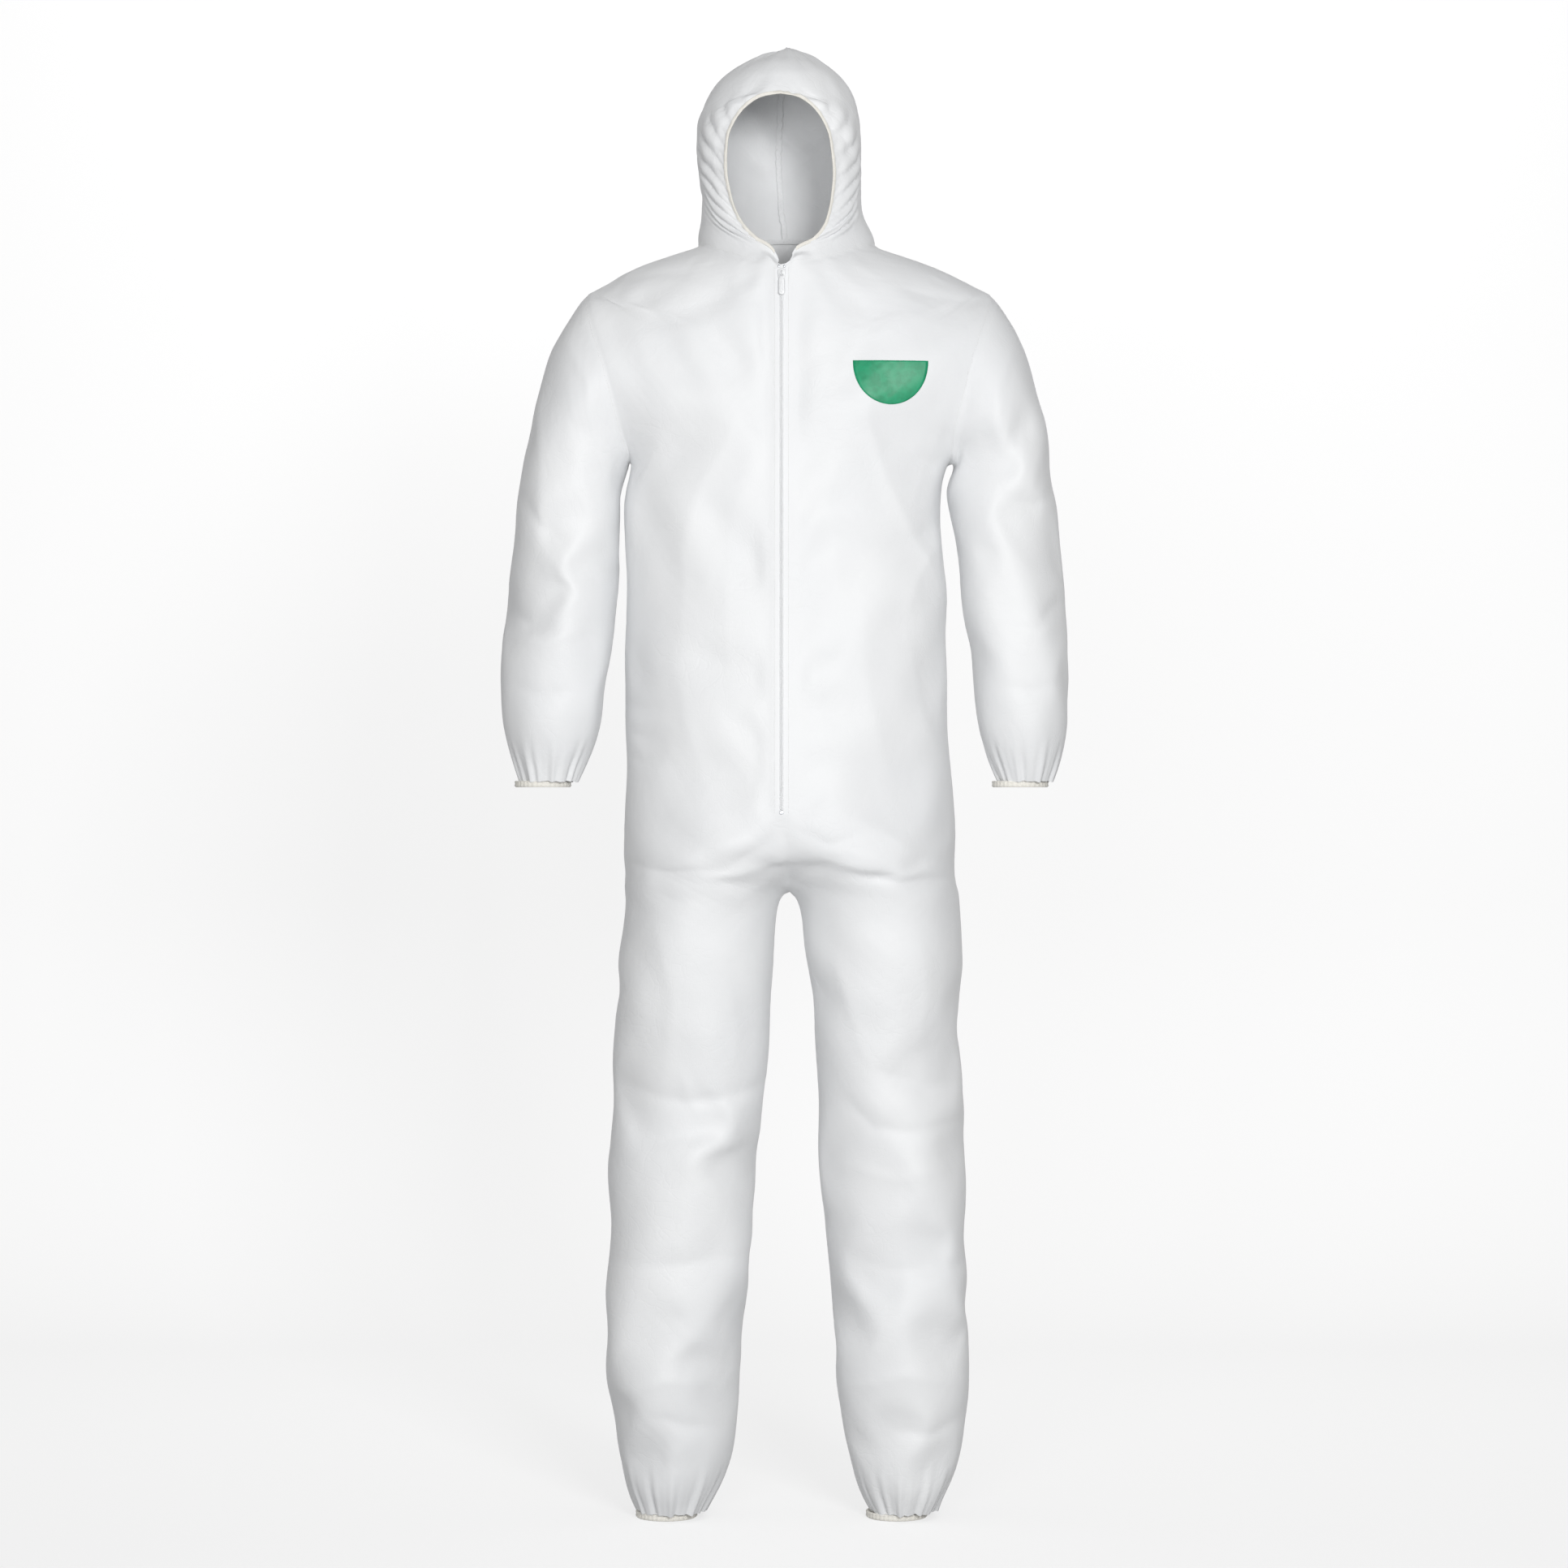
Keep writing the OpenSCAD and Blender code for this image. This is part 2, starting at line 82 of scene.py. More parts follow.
# The cut of the suit in millimetres, as tables from the neck down to the ankles
cut = {
    "columns": 28,                           # across one quarter of the body
    "zipOut": 105, "zipTop": 1533,           # how far forward the zip's top stands, and its height
    "frontLean": 33 / 668,                   # the zip leans forward as it goes down
    "shoulder": {"front": [(0, 1533), (0.33, 1512), (0.66, 1488), (1, 1462)],
                 "side": [(0, 1566), (0.33, 1555), (0.66, 1538), (1, 1507)],
                 "back": [(0, 1580), (0.33, 1556), (0.66, 1526), (1, 1494)],
                 "half": [(0, 112), (0.33, 158), (0.66, 202), (1, 250)]},
    "armhole": (196, 1298, 250, 1507, 84),   # inner x and z, outer x and z, half-depth
    "backDepth": [(1580, 92), (1556, 100), (1526, 106), (1494, 112), (1450, 117), (1370, 120), (1296, 118),
                  (1240, 114), (1180, 111), (1100, 109), (1020, 112), (950, 120), (895, 127), (860, 131),
                  (832, 131), (808, 129), (788, 126), (749, 120), (698, 115), (638, 110), (578, 104),
                  (535, 99), (490, 95), (448, 94), (398, 95), (338, 97), (278, 96), (218, 93), (158, 89),
                  (98, 80), (68, 73), (38, 63), (8, 45)],
    "frontDepth": [(905, 136), (860, 138.2), (832, 138.6), (808, 135.6), (788, 131.5), (749, 121), (698, 112),
                   (638, 106), (578, 101), (535, 98), (490, 95), (448, 94), (398, 93), (338, 91), (278, 90),
                   (218, 88), (158, 85), (98, 76), (68, 69), (38, 60), (8, 43)],
    "bodyHalf": [(1298, 196), (1240, 191), (1180, 192), (1100, 195), (1020, 197), (950, 199), (905, 202)],
    "hipOut": [(905, 202), (860, 205), (832, 205), (808, 206), (788, 207), (766, 208)],
    "crotch": [(90, 905), (97.6, 860), (113, 832), (131, 808), (152, 788), (169, 772), (180, 766)],
    "legX": [(766, 104), (749, 108), (698, 114), (638, 118), (578, 121), (535, 123.5), (490, 126), (448, 128),
             (398, 131), (338, 133), (278, 137), (218, 139), (158, 141), (98, 140), (68, 140.5), (38, 141),
             (8, 142)],
    "legHalf": [(766, 104), (749, 101), (698, 97), (638, 93.5), (578, 93), (535, 91.5), (490, 91), (448, 91),
                (398, 90), (338, 87), (278, 86), (218, 83), (158, 81), (98, 73), (68, 67.5), (38, 59),
                (8, 43)],
    "legY": [(766, 0), (490, 0), (448, 1), (398, 2), (338, 4), (278, 6), (218, 8), (158, 9), (98, 10), (8, 10)],
    # sleeve rings by the share of the way down: inner x and z, outer x and z, half-depth
    "sleeve": [(0, (196, 1298, 250, 1507, 84)), (0.07, (196.6, 1289, 279, 1463, 87)),
               (0.13, (197, 1276, 296, 1428, 88)), (0.2, (197, 1262, 309, 1378, 88)),
               (0.3, (199, 1240, 322, 1322, 86)), (0.42, (203, 1204, 333, 1246, 81)),
               (0.54, (209, 1160, 342, 1168, 77)), (0.64, (214, 1115, 346, 1115, 75)),
               (0.73, (219, 1070, 349, 1070, 74)), (0.82, (225, 1026, 350.5, 1026, 71)),
               (0.9, (231, 980, 349, 980, 66)), (0.955, (240, 942, 342, 942, 55)),
               (0.98, (251, 922, 335, 922, 44)), (1, (257, 907, 330, 907, 38))],
    "sleeveRows": 54,
    # hood rows: side z, then front z, back z, half-width, front depth, back depth and centre y
    "hood": {"front": [(1571, 1536), (1600, 1574), (1624, 1602), (1652, 1640), (1682, 1678), (1708, 1708),
                       (1748, 1750), (1766, 1768), (1802, 1803), (1810, 1810)],
             "back": [(1571, 1602), (1584, 1614), (1600, 1626), (1624, 1643), (1652, 1664), (1682, 1686),
                      (1708, 1708), (1748, 1746), (1766, 1764), (1810, 1810)],
             "half": [(1571, 111), (1584, 102), (1600, 98), (1624, 98.5), (1652, 100), (1682, 101.5),
                      (1708, 100), (1730, 96.5), (1748, 92), (1766, 84), (1788, 66), (1802, 41), (1808, 20),
                      (1810, 0)],
             "frontDepth": [(1571, 100), (1624, 97), (1682, 95), (1708, 93), (1748, 86), (1766, 78), (1788, 62),
                            (1802, 40), (1808, 20), (1810, 0)],
             "backDepth": [(1571, 92), (1584, 96), (1600, 100), (1624, 106), (1652, 111), (1682, 114),
                           (1708, 114), (1748, 105), (1766, 96), (1788, 78), (1802, 50), (1808, 24), (1810, 0)],
             "middle": [(1571, 0), (1624, 4), (1682, 6), (1748, 9), (1788, 12), (1810, 16)]},
    "faceRows": 32, "crownRows": 14, "ankleZ": 8, "easing": 30,
    # the edge of the face opening from the throat to the brow, as half-width and height
    "face": [(0, 1541), (7, 1544.5), (11, 1552), (20, 1557.5), (29, 1561.5), (38, 1570), (50, 1588), (60, 1615),
             (65.5, 1652), (62.5, 1688), (52, 1712), (38, 1728), (20, 1738.5), (0, 1742)],
}


def frontDepth(z):
    flat = cut["zipOut"] + (cut["zipTop"] - z) * cut["frontLean"]
    return np.where(z > 905, flat, through(cut["frontDepth"], z))


# How far forward the zip stands at a height, in metres
def zipDepth(z):
    return cut["zipOut"] / 1000 + (cut["zipTop"] / 1000 - z) * cut["frontLean"]


# The rows of one quarter of the body: heights at centre and side, half-width, inner and outer angle
def bodyRow(front, kind, place):
    inX, inZ, outX, outZ, reach = cut["armhole"]
    if kind == "shoulder":
        table = cut["shoulder"]
        zc = through(table["front" if front else "back"], place)
        zs, half = through(table["side"], place), through(table["half"], place)
        return zc, zs, half, 90.0, 0.0, 0.0
    if kind == "armhole":
        a = math.radians(180 * place)
        zs = (inZ + outZ) / 2 + (outZ - inZ) / 2 * math.cos(a)
        share = 0.6 * place + 0.4 * (1 - math.cos(a)) / 2
        top = 1462 if front else 1494
        zc = top + (inZ - top) * share
        depth = frontDepth(zc) if front else through(cut["backDepth"], zc)
        outer = math.degrees(math.asin(reach * math.sin(a) / depth))
        edge = inX + (zs - inZ) * (outX - inX) / (outZ - inZ)
        return zc, zs, edge / math.cos(math.radians(outer)), 90.0, outer, 0.0
    if kind == "body":
        z = 1298 + (905 - 1298) * place
        return z, z, through(cut["bodyHalf"], z), 90.0, 0.0, 0.0
    if kind == "crotch":
        inner = 90 + 90 * place
        z = through(cut["crotch"], inner)
        half = through(cut["hipOut"], z) / (1 - math.cos(math.radians(inner)))
        return z, z, half, inner, 0.0, -half * math.cos(math.radians(inner))
    z = 766 + (cut["ankleZ"] - 766) * place
    return z, z, through(cut["legHalf"], z), 180.0, 0.0, through(cut["legX"], z)


stretches = [("shoulder", 14), ("armhole", cut["columns"]), ("body", 39), ("crotch", 20), ("leg", 74)]


def bodyGrid(front):
    rows = []
    for kind, count in stretches:
        first = 0 if kind == "shoulder" else 1
        rows += [(kind, k / count) for k in range(first, count + 1)]
    grid = np.zeros((len(rows), cut["columns"] + 1, 3))
    for i, (kind, place) in enumerate(rows):
        zc, zs, half, inner, outer, x0 = bodyRow(front, kind, place)
        a = np.radians(np.linspace(inner, outer, cut["columns"] + 1))
        depth = frontDepth(zc) if front else through(cut["backDepth"], zc)
        o = math.radians(outer)
        rise = (np.sin(a) ** 2 - math.sin(o) ** 2) / (1 - math.sin(o) ** 2)
        y0 = through(cut["legY"], zc) if kind == "leg" else 0
        grid[i, :, 0] = x0 + half * np.cos(a)
        grid[i, :, 1] = y0 + (-1 if front else 1) * depth * np.sin(a)
        grid[i, :, 2] = zs + (zc - zs) * rise
    grid[:, 0, 0] = np.where([kind != "leg" for kind, _ in rows], 0, grid[:, 0, 0])
    return rows, grid


def sleeveGrid():
    count = 2 * cut["columns"]
    a = 2 * np.pi * np.arange(count) / count
    grid = []
    for row in range(1, cut["sleeveRows"] + 1):
        d = row / cut["sleeveRows"]
        x0, z0, x1, z1, depth = [through([(p, ring[k]) for p, ring in cut["sleeve"]], d) for k in range(5)]
        t = (1 + np.cos(a)) / 2
        grid.append(np.stack([x0 + (x1 - x0) * t, -depth * np.sin(a), z0 + (z1 - z0) * t], 1))
    return np.array(grid)


def hoodGrid():
    table, rows = cut["hood"], []
    face = np.array(cut["face"], float)
    along = np.concatenate([[0], np.cumsum(np.linalg.norm(np.diff(face, axis=0), axis=1))])
    along /= along[-1]
    for k in range(cut["faceRows"] + 1):
        share = k / cut["faceRows"]
        edge, front = (float(through(np.stack([along, face[:, n]], 1), share)) for n in (0, 1))
        rows.append((1571 + 170 * share, front, edge))
    for k in range(1, cut["crownRows"] + 1):
        t = math.sin(math.pi / 2 * k / cut["crownRows"])
        side = 1741 + (1810 - 1741) * t
        rows.append((side, max(face[-1, 1] + 0.3, through(table["front"], side)), 0))
    grid = np.zeros((len(rows), 2 * cut["columns"] + 1, 3))
    for i, (side, front, edge) in enumerate(rows):
        half, y0 = through(table["half"], side), through(table["middle"], side)
        back = through(table["back"], side)
        first = math.acos(min(1, edge / half)) if half > 0 else math.pi / 2
        a = np.linspace(-first, math.pi / 2, 2 * cut["columns"] + 1)
        ahead = a < 0
        depth = np.where(ahead, through(table["frontDepth"], side), through(table["backDepth"], side))
        rise = np.where(ahead, (front - side) * (np.sin(a) / math.sin(first)) ** 2,
                        (back - side) * np.sin(a) ** 2)
        grid[i] = np.stack([half * np.cos(a), y0 + depth * np.sin(a), side + rise], 1)
        if edge < 1e-6:
            grid[i, 0, 0] = 0
        grid[i, -1, 0] = 0
    return grid


# One welded net for the whole garment: every panel is a grid of vertex numbers, and panels share their seams
def sewGarment():
    places, panels = [], {}

    def add(points):
        start = len(places)
        places.extend(points.reshape(-1, 3))
        return np.arange(start, start + points.shape[0] * points.shape[1]).reshape(points.shape[:2])

    rows, front = bodyGrid(True)
    _, back = bodyGrid(False)
    kinds = [kind for kind, _ in rows]
    top, bottom = kinds.index("armhole") - 1, kinds.index("body") - 1
    crotch = kinds.index("leg") - 1
    sleeve, hood = sleeveGrid(), hoodGrid()
    c = cut["columns"]
    for side in sides:
        turn = np.array([across[side], 1, 1])
        f, b = add(front * turn), add(back * turn)
        opened = np.zeros(len(rows), bool)
        opened[top + 1:bottom] = True
        b[~opened, c] = f[~opened, c]
        b[crotch:, 0] = f[crotch:, 0]
        if side == "right":
            f[:crotch + 1, 0] = panels["left", "front"][:crotch + 1, 0]
            b[:crotch + 1, 0] = panels["left", "back"][:crotch + 1, 0]
        panels[side, "front"], panels[side, "back"] = f, b
        ring = np.concatenate([f[top:bottom + 1, c], b[top + 1:bottom, c][::-1]])
        s = add(sleeve * turn)
        panels[side, "sleeve"] = np.concatenate([ring[None], s])
        neck = np.concatenate([f[0], b[0, :-1][::-1]])
        h = add(hood * turn)
        h[-1, :] = h[-1, 0]
        if side == "right":
            left = panels["left", "hood"]
            h[:, -1] = left[1:, -1]
            h[-1, :] = left[-1, 0]
            plain = np.array([0] + list(range(cut["faceRows"], len(hood) - 1)))
            h[plain, 0] = left[1:, 0][plain]
        panels[side, "hood"] = np.concatenate([neck[None], h])
    places = np.array(places) / 1000
    quads, parts = [], []
    for number, ((side, part), ids) in enumerate(panels.items()):
        if part == "sleeve":
            ids = np.concatenate([ids, ids[:, :1]], 1)
        q = np.stack([ids[:-1, :-1], ids[1:, :-1], ids[1:, 1:], ids[:-1, 1:]], -1).reshape(-1, 4)
        turned = (side == "right") != (part in ("back", "hood", "sleeve"))
        quads.append(q[:, ::-1] if turned else q)
        parts += [number] * len(q)
    quads = np.concatenate(quads)
    used, flat = np.unique(quads, return_inverse=True)       # drop the points that a shared seam left over
    number = np.zeros(len(places), int)
    number[used] = np.arange(len(used))
    panels = {name: number[ids] for name, ids in panels.items()}
    return places[used], flat.reshape(quads.shape), np.array(parts), panels, crotch


def neighbourMean(values, faces):
    total, count = np.zeros_like(values), np.zeros(len(values))
    for a in range(4):
        for b in (1, 3):
            np.add.at(total, faces[:, a], values[faces[:, (a + b) % 4]])
            np.add.at(count, faces[:, a], 1)
    return total / count[:, None]


# Eases the panels into each other where the tables change kind, at the underarm and below the crotch
def ease(points, faces, fixed):
    for _ in range(cut["easing"]):
        z = points[:, 2]
        band = np.exp(-((z - 1.3) / 0.035) ** 2) + np.exp(-((z - 0.765) / 0.045) ** 2) + 0.06
        band[fixed] = 0
        points = points + (neighbourMean(points, faces) - points) * np.minimum(band, 0.8)[:, None]
    return points


places, quads, parts, panels, crotchRow = sewGarment()
rims = np.unique(np.concatenate([ids for side in sides for ids in (
    panels[side, "front"][-1], panels[side, "back"][-1], panels[side, "sleeve"][-1],
    panels[side, "hood"][:-cut["crownRows"], 0])]))
places = ease(places, quads, rims)
print("garment net:", len(places), "points", len(quads), "faces")


# The cloth: the net is cut a little longer and wider than the worn shape, and is then drawn into it, so that the
# spare fabric buckles into folds. Heights are in metres.
cloth = {
    "frames": 24, "drawIn": 12, "seed": 11, "roughness": 0.0012, "pressure": 0.4, "bend": 5.0, "cap": 0.011,
    "sideShare": 0.5,                                          # how much of the sideways billow is kept
    "width": 1.018,                                            # spare fabric round the body
    "bodyLong": [(0.0, 0.1), (0.05, 0.08), (0.12, 0.02), (0.3, 0.008), (0.42, 0.028), (0.56, 0.03), (0.66, 0.01),
                 (0.76, 0.03), (0.88, 0.02), (1.0, 0.008), (1.2, 0.006), (1.35, 0.008), (1.5, 0.006), (1.9, 0.01)],
    "sleeveLong": [(0.9, 0.1), (0.96, 0.05), (1.02, 0.015), (1.08, 0.035), (1.18, 0.035), (1.3, 0.01)],
    # how firmly the fabric keeps to the worn shape, by height on the body and on the sleeves
    "bodyHeld": [(0.0, 0.14), (0.1, 0.08), (0.4, 0.06), (0.55, 0.06), (0.7, 0.16), (0.8, 0.2), (0.95, 0.08),
                 (1.2, 0.06), (1.4, 0.1), (1.5, 0.25), (1.55, 0.5), (1.62, 0.2), (1.8, 0.2)],
    "sleeveHeld": [(0.9, 0.14), (1.0, 0.06), (1.15, 0.05), (1.3, 0.08), (1.45, 0.2), (1.51, 0.3)],
}


def cutShape(points, onSleeve):
    heights = np.linspace(0, 1.9, 381)
    body = np.concatenate([[0], np.cumsum(1 + through(cloth["bodyLong"], heights[:-1] + 0.0025))]) * 0.005
    arm = np.concatenate([[0], np.cumsum(1 + through(cloth["sleeveLong"], heights[:-1] + 0.0025))]) * 0.005
    underarm = cut["armhole"][1] / 1000
    arm += np.interp(underarm, heights, body) - np.interp(underarm, heights, arm)
    low = onSleeve & (points[:, 2] < underarm)
    out = points * [cloth["width"], cloth["width"], 1]
    out[:, 2] = np.where(low, np.interp(points[:, 2], heights, arm), np.interp(points[:, 2], heights, body))
    return out


def meshObject(name, points, faces):
    mesh = bpy.data.meshes.new(name)
    corners = [list(dict.fromkeys(face)) for face in faces.tolist()]        # a pole makes triangles
    mesh.from_pydata(points.tolist(), [], corners)
    mesh.update()
    obj = bpy.data.objects.new(name, mesh)
    bpy.context.collection.objects.link(obj)
    return obj


def settle(points, faces, onSleeve, fixed):
    draw = np.random.default_rng(cloth["seed"])
    rough = draw.normal(0, 1, points.shape)
    for _ in range(6):                       # neighbours share the roughness, so it is soft
        rough = neighbourMean(rough, faces)
    rough *= cloth["roughness"] / rough.std()
    rough[fixed] = 0
    obj = meshObject("settling", cutShape(points, onSleeve) + rough, faces)
    obj.shape_key_add(name="cut")
    worn = obj.shape_key_add(name="worn")
    worn.data.foreach_set("co", points.astype(np.float32).ravel())
    for value, number in ((0, 1), (1, cloth["drawIn"])):
        worn.value = value
        worn.keyframe_insert("value", frame=number)
    held = np.where(onSleeve, through(cloth["sleeveHeld"], points[:, 2]), through(cloth["bodyHeld"], points[:, 2]))
    held[fixed] = 1
    group, held = obj.vertex_groups.new(name="held"), np.round(held, 2)
    for weight in np.unique(held):
        group.add(np.nonzero(held == weight)[0].tolist(), float(weight), "REPLACE")
    modifier = obj.modifiers.new("cloth", "CLOTH")
    s = modifier.settings
    s.quality, s.mass, s.air_damping = 5, 0.12, 1
    s.tension_stiffness = s.compression_stiffness = 15
    s.shear_stiffness, s.bending_stiffness = 5, cloth["bend"]
    s.tension_damping = s.compression_damping = 5
    s.bending_damping = 0.5
    s.vertex_group_mass, s.pin_stiffness = "held", 1
    s.use_pressure, s.uniform_pressure_force = True, cloth["pressure"]
    s.effector_weights.gravity = 0
    modifier.collision_settings.use_collision = False
    modifier.collision_settings.use_self_collision = False
    modifier.point_cache.frame_start, modifier.point_cache.frame_end = 1, cloth["frames"]
    scene = bpy.context.scene
    for number in range(1, cloth["frames"] + 1):
        scene.frame_set(number)
    shown = obj.evaluated_get(bpy.context.evaluated_depsgraph_get())
    moved = np.zeros(len(points) * 3, np.float32)
    shown.data.vertices.foreach_get("co", moved)
    bpy.data.objects.remove(obj)
    scene.frame_set(1)
    move = (moved.reshape(-1, 3).astype(float) - points) * [cloth["sideShare"], 1, 1]
    far = np.linalg.norm(move, axis=1)
    return points + move * (np.tanh(far / cloth["cap"]) * cloth["cap"] / np.maximum(far, 1e-9))[:, None]


onSleeve = np.zeros(len(places), bool)
fixed = np.zeros(len(places), bool)
fixed[rims] = True
for side in sides:
    onSleeve[panels[side, "sleeve"][1:]] = True
    fixed[panels[side, "front"][:crotchRow - 15, 0]] = True      # along the zip


settled = settle(places, quads, onSleeve, fixed)
print("cloth settled, furthest move", round(float(np.linalg.norm(settled - places, axis=1).max()), 4))


# The worn outline as measured at every 30 mm of height: where the edges of each part stand, in mm from the zip line,
# at the wearer's right (-x) and then the left
outline = {
    "eased": 24, "bin": 0.016, "zipFlat": 0.055, "eyeAway": 5.0, "eyeSide": 0.003,
    "hood": [(1568, -115, 130), (1598, -99, 102), (1628, -99, 99), (1658, -103, 98), (1688, -105, 98),
             (1718, -104, 98), (1748, -96, 92), (1778, -76, 75), (1808, -26, 35)],
    "shoulders": [(1298, -318, 333), (1328, -313, 328), (1358, -307, 322), (1388, -297, 314), (1418, -292, 307),
                  (1448, -281, 297), (1478, -265, 282), (1508, -237, 259), (1538, -194, 208), (1568, -115, 130)],
    "torso": [(765, -198, 220), (788, -193, 215), (818, -195, 214), (848, -195, 215), (878, -193, 215),
              (908, -189, 211), (938, -191, 207), (968, -194, 205), (998, -193, 205), (1028, -192, 205),
              (1058, -194, 203), (1088, -193, 202), (1118, -191, 204), (1148, -191, 206), (1178, -192, 200),
              (1208, -193, 196), (1238, -194, 196), (1268, -194, 196), (1298, -194, 196)],
    "right_leg": [(8, -179, -94), (38, -191, -72), (68, -198, -61), (98, -202, -56), (128, -211, -53),
                  (158, -214, -52), (188, -216, -51), (248, -216, -45), (308, -216, -39), (368, -208, -35),
                  (398, -213, -33), (428, -215, -31), (458, -215, -29), (488, -207, -25), (518, -205, -21),
                  (548, -210, -18), (578, -209, -14), (608, -205, -15), (638, -203, -12), (668, -202, -10),
                  (698, -200, -9), (728, -196, -5), (758, -192, 0)],
    "left_leg": [(8, 107, 188), (38, 93, 209), (68, 85, 218), (98, 78, 224), (128, 73, 229), (158, 68, 231),
                 (188, 66, 232), (218, 65, 230), (278, 60, 228), (308, 59, 229), (338, 55, 225), (368, 52, 224),
                 (398, 49, 229), (428, 45, 229), (458, 44, 222), (488, 45, 226), (518, 45, 226), (548, 43, 223),
                 (578, 42, 218), (608, 39, 217), (638, 37, 220), (668, 34, 223), (698, 28, 223), (728, 21, 222),
                 (758, 14, 220)],
    "right_sleeve": [(908, -324, -250), (938, -336, -232), (968, -342, -224), (998, -346, -219), (1028, -347, -215),
                     (1058, -346, -210), (1088, -344, -206), (1118, -339, -205), (1148, -337, -198),
                     (1178, -333, -200), (1208, -329, -199), (1238, -328, -198), (1268, -324, -196)],
    "left_sleeve": [(908, 268, 337), (938, 250, 347), (968, 242, 353), (998, 239, 354), (1028, 235, 354),
                    (1058, 235, 353), (1088, 227, 352), (1118, 221, 351), (1148, 220, 349), (1178, 219, 346),
                    (1208, 211, 342), (1238, 207, 339), (1268, 202, 336)],
}


def edgeTable(points, chosen, seen):
    heights = points[chosen, 2]
    levels = np.arange(heights.min(), heights.max(), outline["bin"])
    at = np.clip(((heights - levels[0]) / outline["bin"]).astype(int), 0, len(levels) - 1)
    low, high = np.full(len(levels), np.inf), np.full(len(levels), -np.inf)
    np.minimum.at(low, at, seen[chosen])
    np.maximum.at(high, at, seen[chosen])
    known = np.isfinite(low)
    rows = [np.interp(levels, levels[known], edge[known]) for edge in (low, high)]
    soft = [np.convolve(np.pad(row, 1, mode="edge"), (0.25, 0.5, 0.25), "valid") for row in rows]
    return levels + outline["bin"] / 2, soft


# Moves the parts sideways until their edges stand on the worn outline, with the zip kept where it is
def fitted(points):
    eye = outline["eyeAway"]
    seen = outline["eyeSide"] + (points[:, 0] - outline["eyeSide"]) * eye / (eye + points[:, 1])
    z = points[:, 2]
    on = {name: np.zeros(len(points), bool) for name in ("hood", "sleeve", "body")}
    leftSide = np.zeros(len(points), bool)
    for (side, part), ids in panels.items():
        on["body" if part in ("front", "back") else part][ids.ravel()] = True
        if side == "left":
            leftSide[ids.ravel()] = True
    on["sleeve"] &= ~on["body"]
    on["hood"] &= ~on["body"]
    tall = z >= 1.283
    zones = {"hood": on["hood"] & (z > 1.568), "shoulders": tall & ((z <= 1.568) | ~on["hood"]),
             "torso": on["body"] & ~tall & (z >= 0.765)}
    for side in sides:
        here = leftSide if side == "left" else ~leftSide
        zones[side + "_leg"] = on["body"] & (z < 0.765) & here
        zones[side + "_sleeve"] = on["sleeve"] & ~tall & here
    move = np.zeros(len(points))
    for name, chosen in zones.items():
        levels, (low, high) = edgeTable(points, chosen, seen)
        wanted = np.array(outline[name]) / 1000
        lowWanted, highWanted = (np.interp(z[chosen], wanted[:, 0], wanted[:, k]) for k in (1, 2))
        low, high = np.interp(z[chosen], levels, low), np.interp(z[chosen], levels, high)
        share = np.clip((seen[chosen] - low) / np.maximum(high - low, 1e-4), 0, 1)
        move[chosen] = (lowWanted - low) * (1 - share) + (highWanted - high) * share
    move = np.clip(move, -0.025, 0.025)
    for _ in range(outline["eased"]):
        move = 0.3 * move + 0.7 * neighbourMean(move[:, None], quads)[:, 0]
    front = (points[:, 1] < 0) & ~on["hood"] & ~on["sleeve"]
    calm = np.exp(-(points[:, 0] / outline["zipFlat"]) ** 2) * smooth(z, 0.78, 0.87) * (1 - smooth(z, 1.53, 1.6))
    move *= 1 - np.where(front, calm, 0)
    return points + np.outer(move, [1, 0, 0])


# Small pulls: the crotch up to a point, and the open throat down to the zip
def pulled(points):
    x, y, z = points.T
    crotch = np.exp(-(x / 0.028) ** 2 - ((z - 0.755) / 0.03) ** 2) * 0.016
    throat = np.exp(-(x / 0.01) ** 2 - ((z - 1.5426) / 0.018) ** 2) * (y < -0.05) * 0.0145
    return points + np.outer(crotch - throat, [0, 0, 1])


settled = pulled(fitted(fitted(settled)))


# Marks on the net that the finer surface needs: where it lies, its seams, and the way round the face opening
def netMarks():
    seam = np.zeros(len(places))
    along, away = np.zeros(len(places)), np.ones(len(places))
    for side in sides:
        front, back = panels[side, "front"], panels[side, "back"]
        sleeve, hood = panels[side, "sleeve"], panels[side, "hood"]
        for line in (sleeve[0], back[:, 0], front[crotchRow - 16:, 0], hood[0], hood[:, -1]):
            seam[line] = 1
        seam[front[:, -1]] = np.maximum(seam[front[:, -1]], 0.7)
        rows = hood[1:cut["faceRows"] + 2]
        step = np.linalg.norm(np.diff(places[rows], axis=1), axis=2)
        away[rows] = np.concatenate([np.zeros((len(rows), 1)), np.cumsum(step, axis=1)], 1)
        along[rows] = (np.arange(len(rows)) / cut["faceRows"])[:, None]
    return seam, along, away


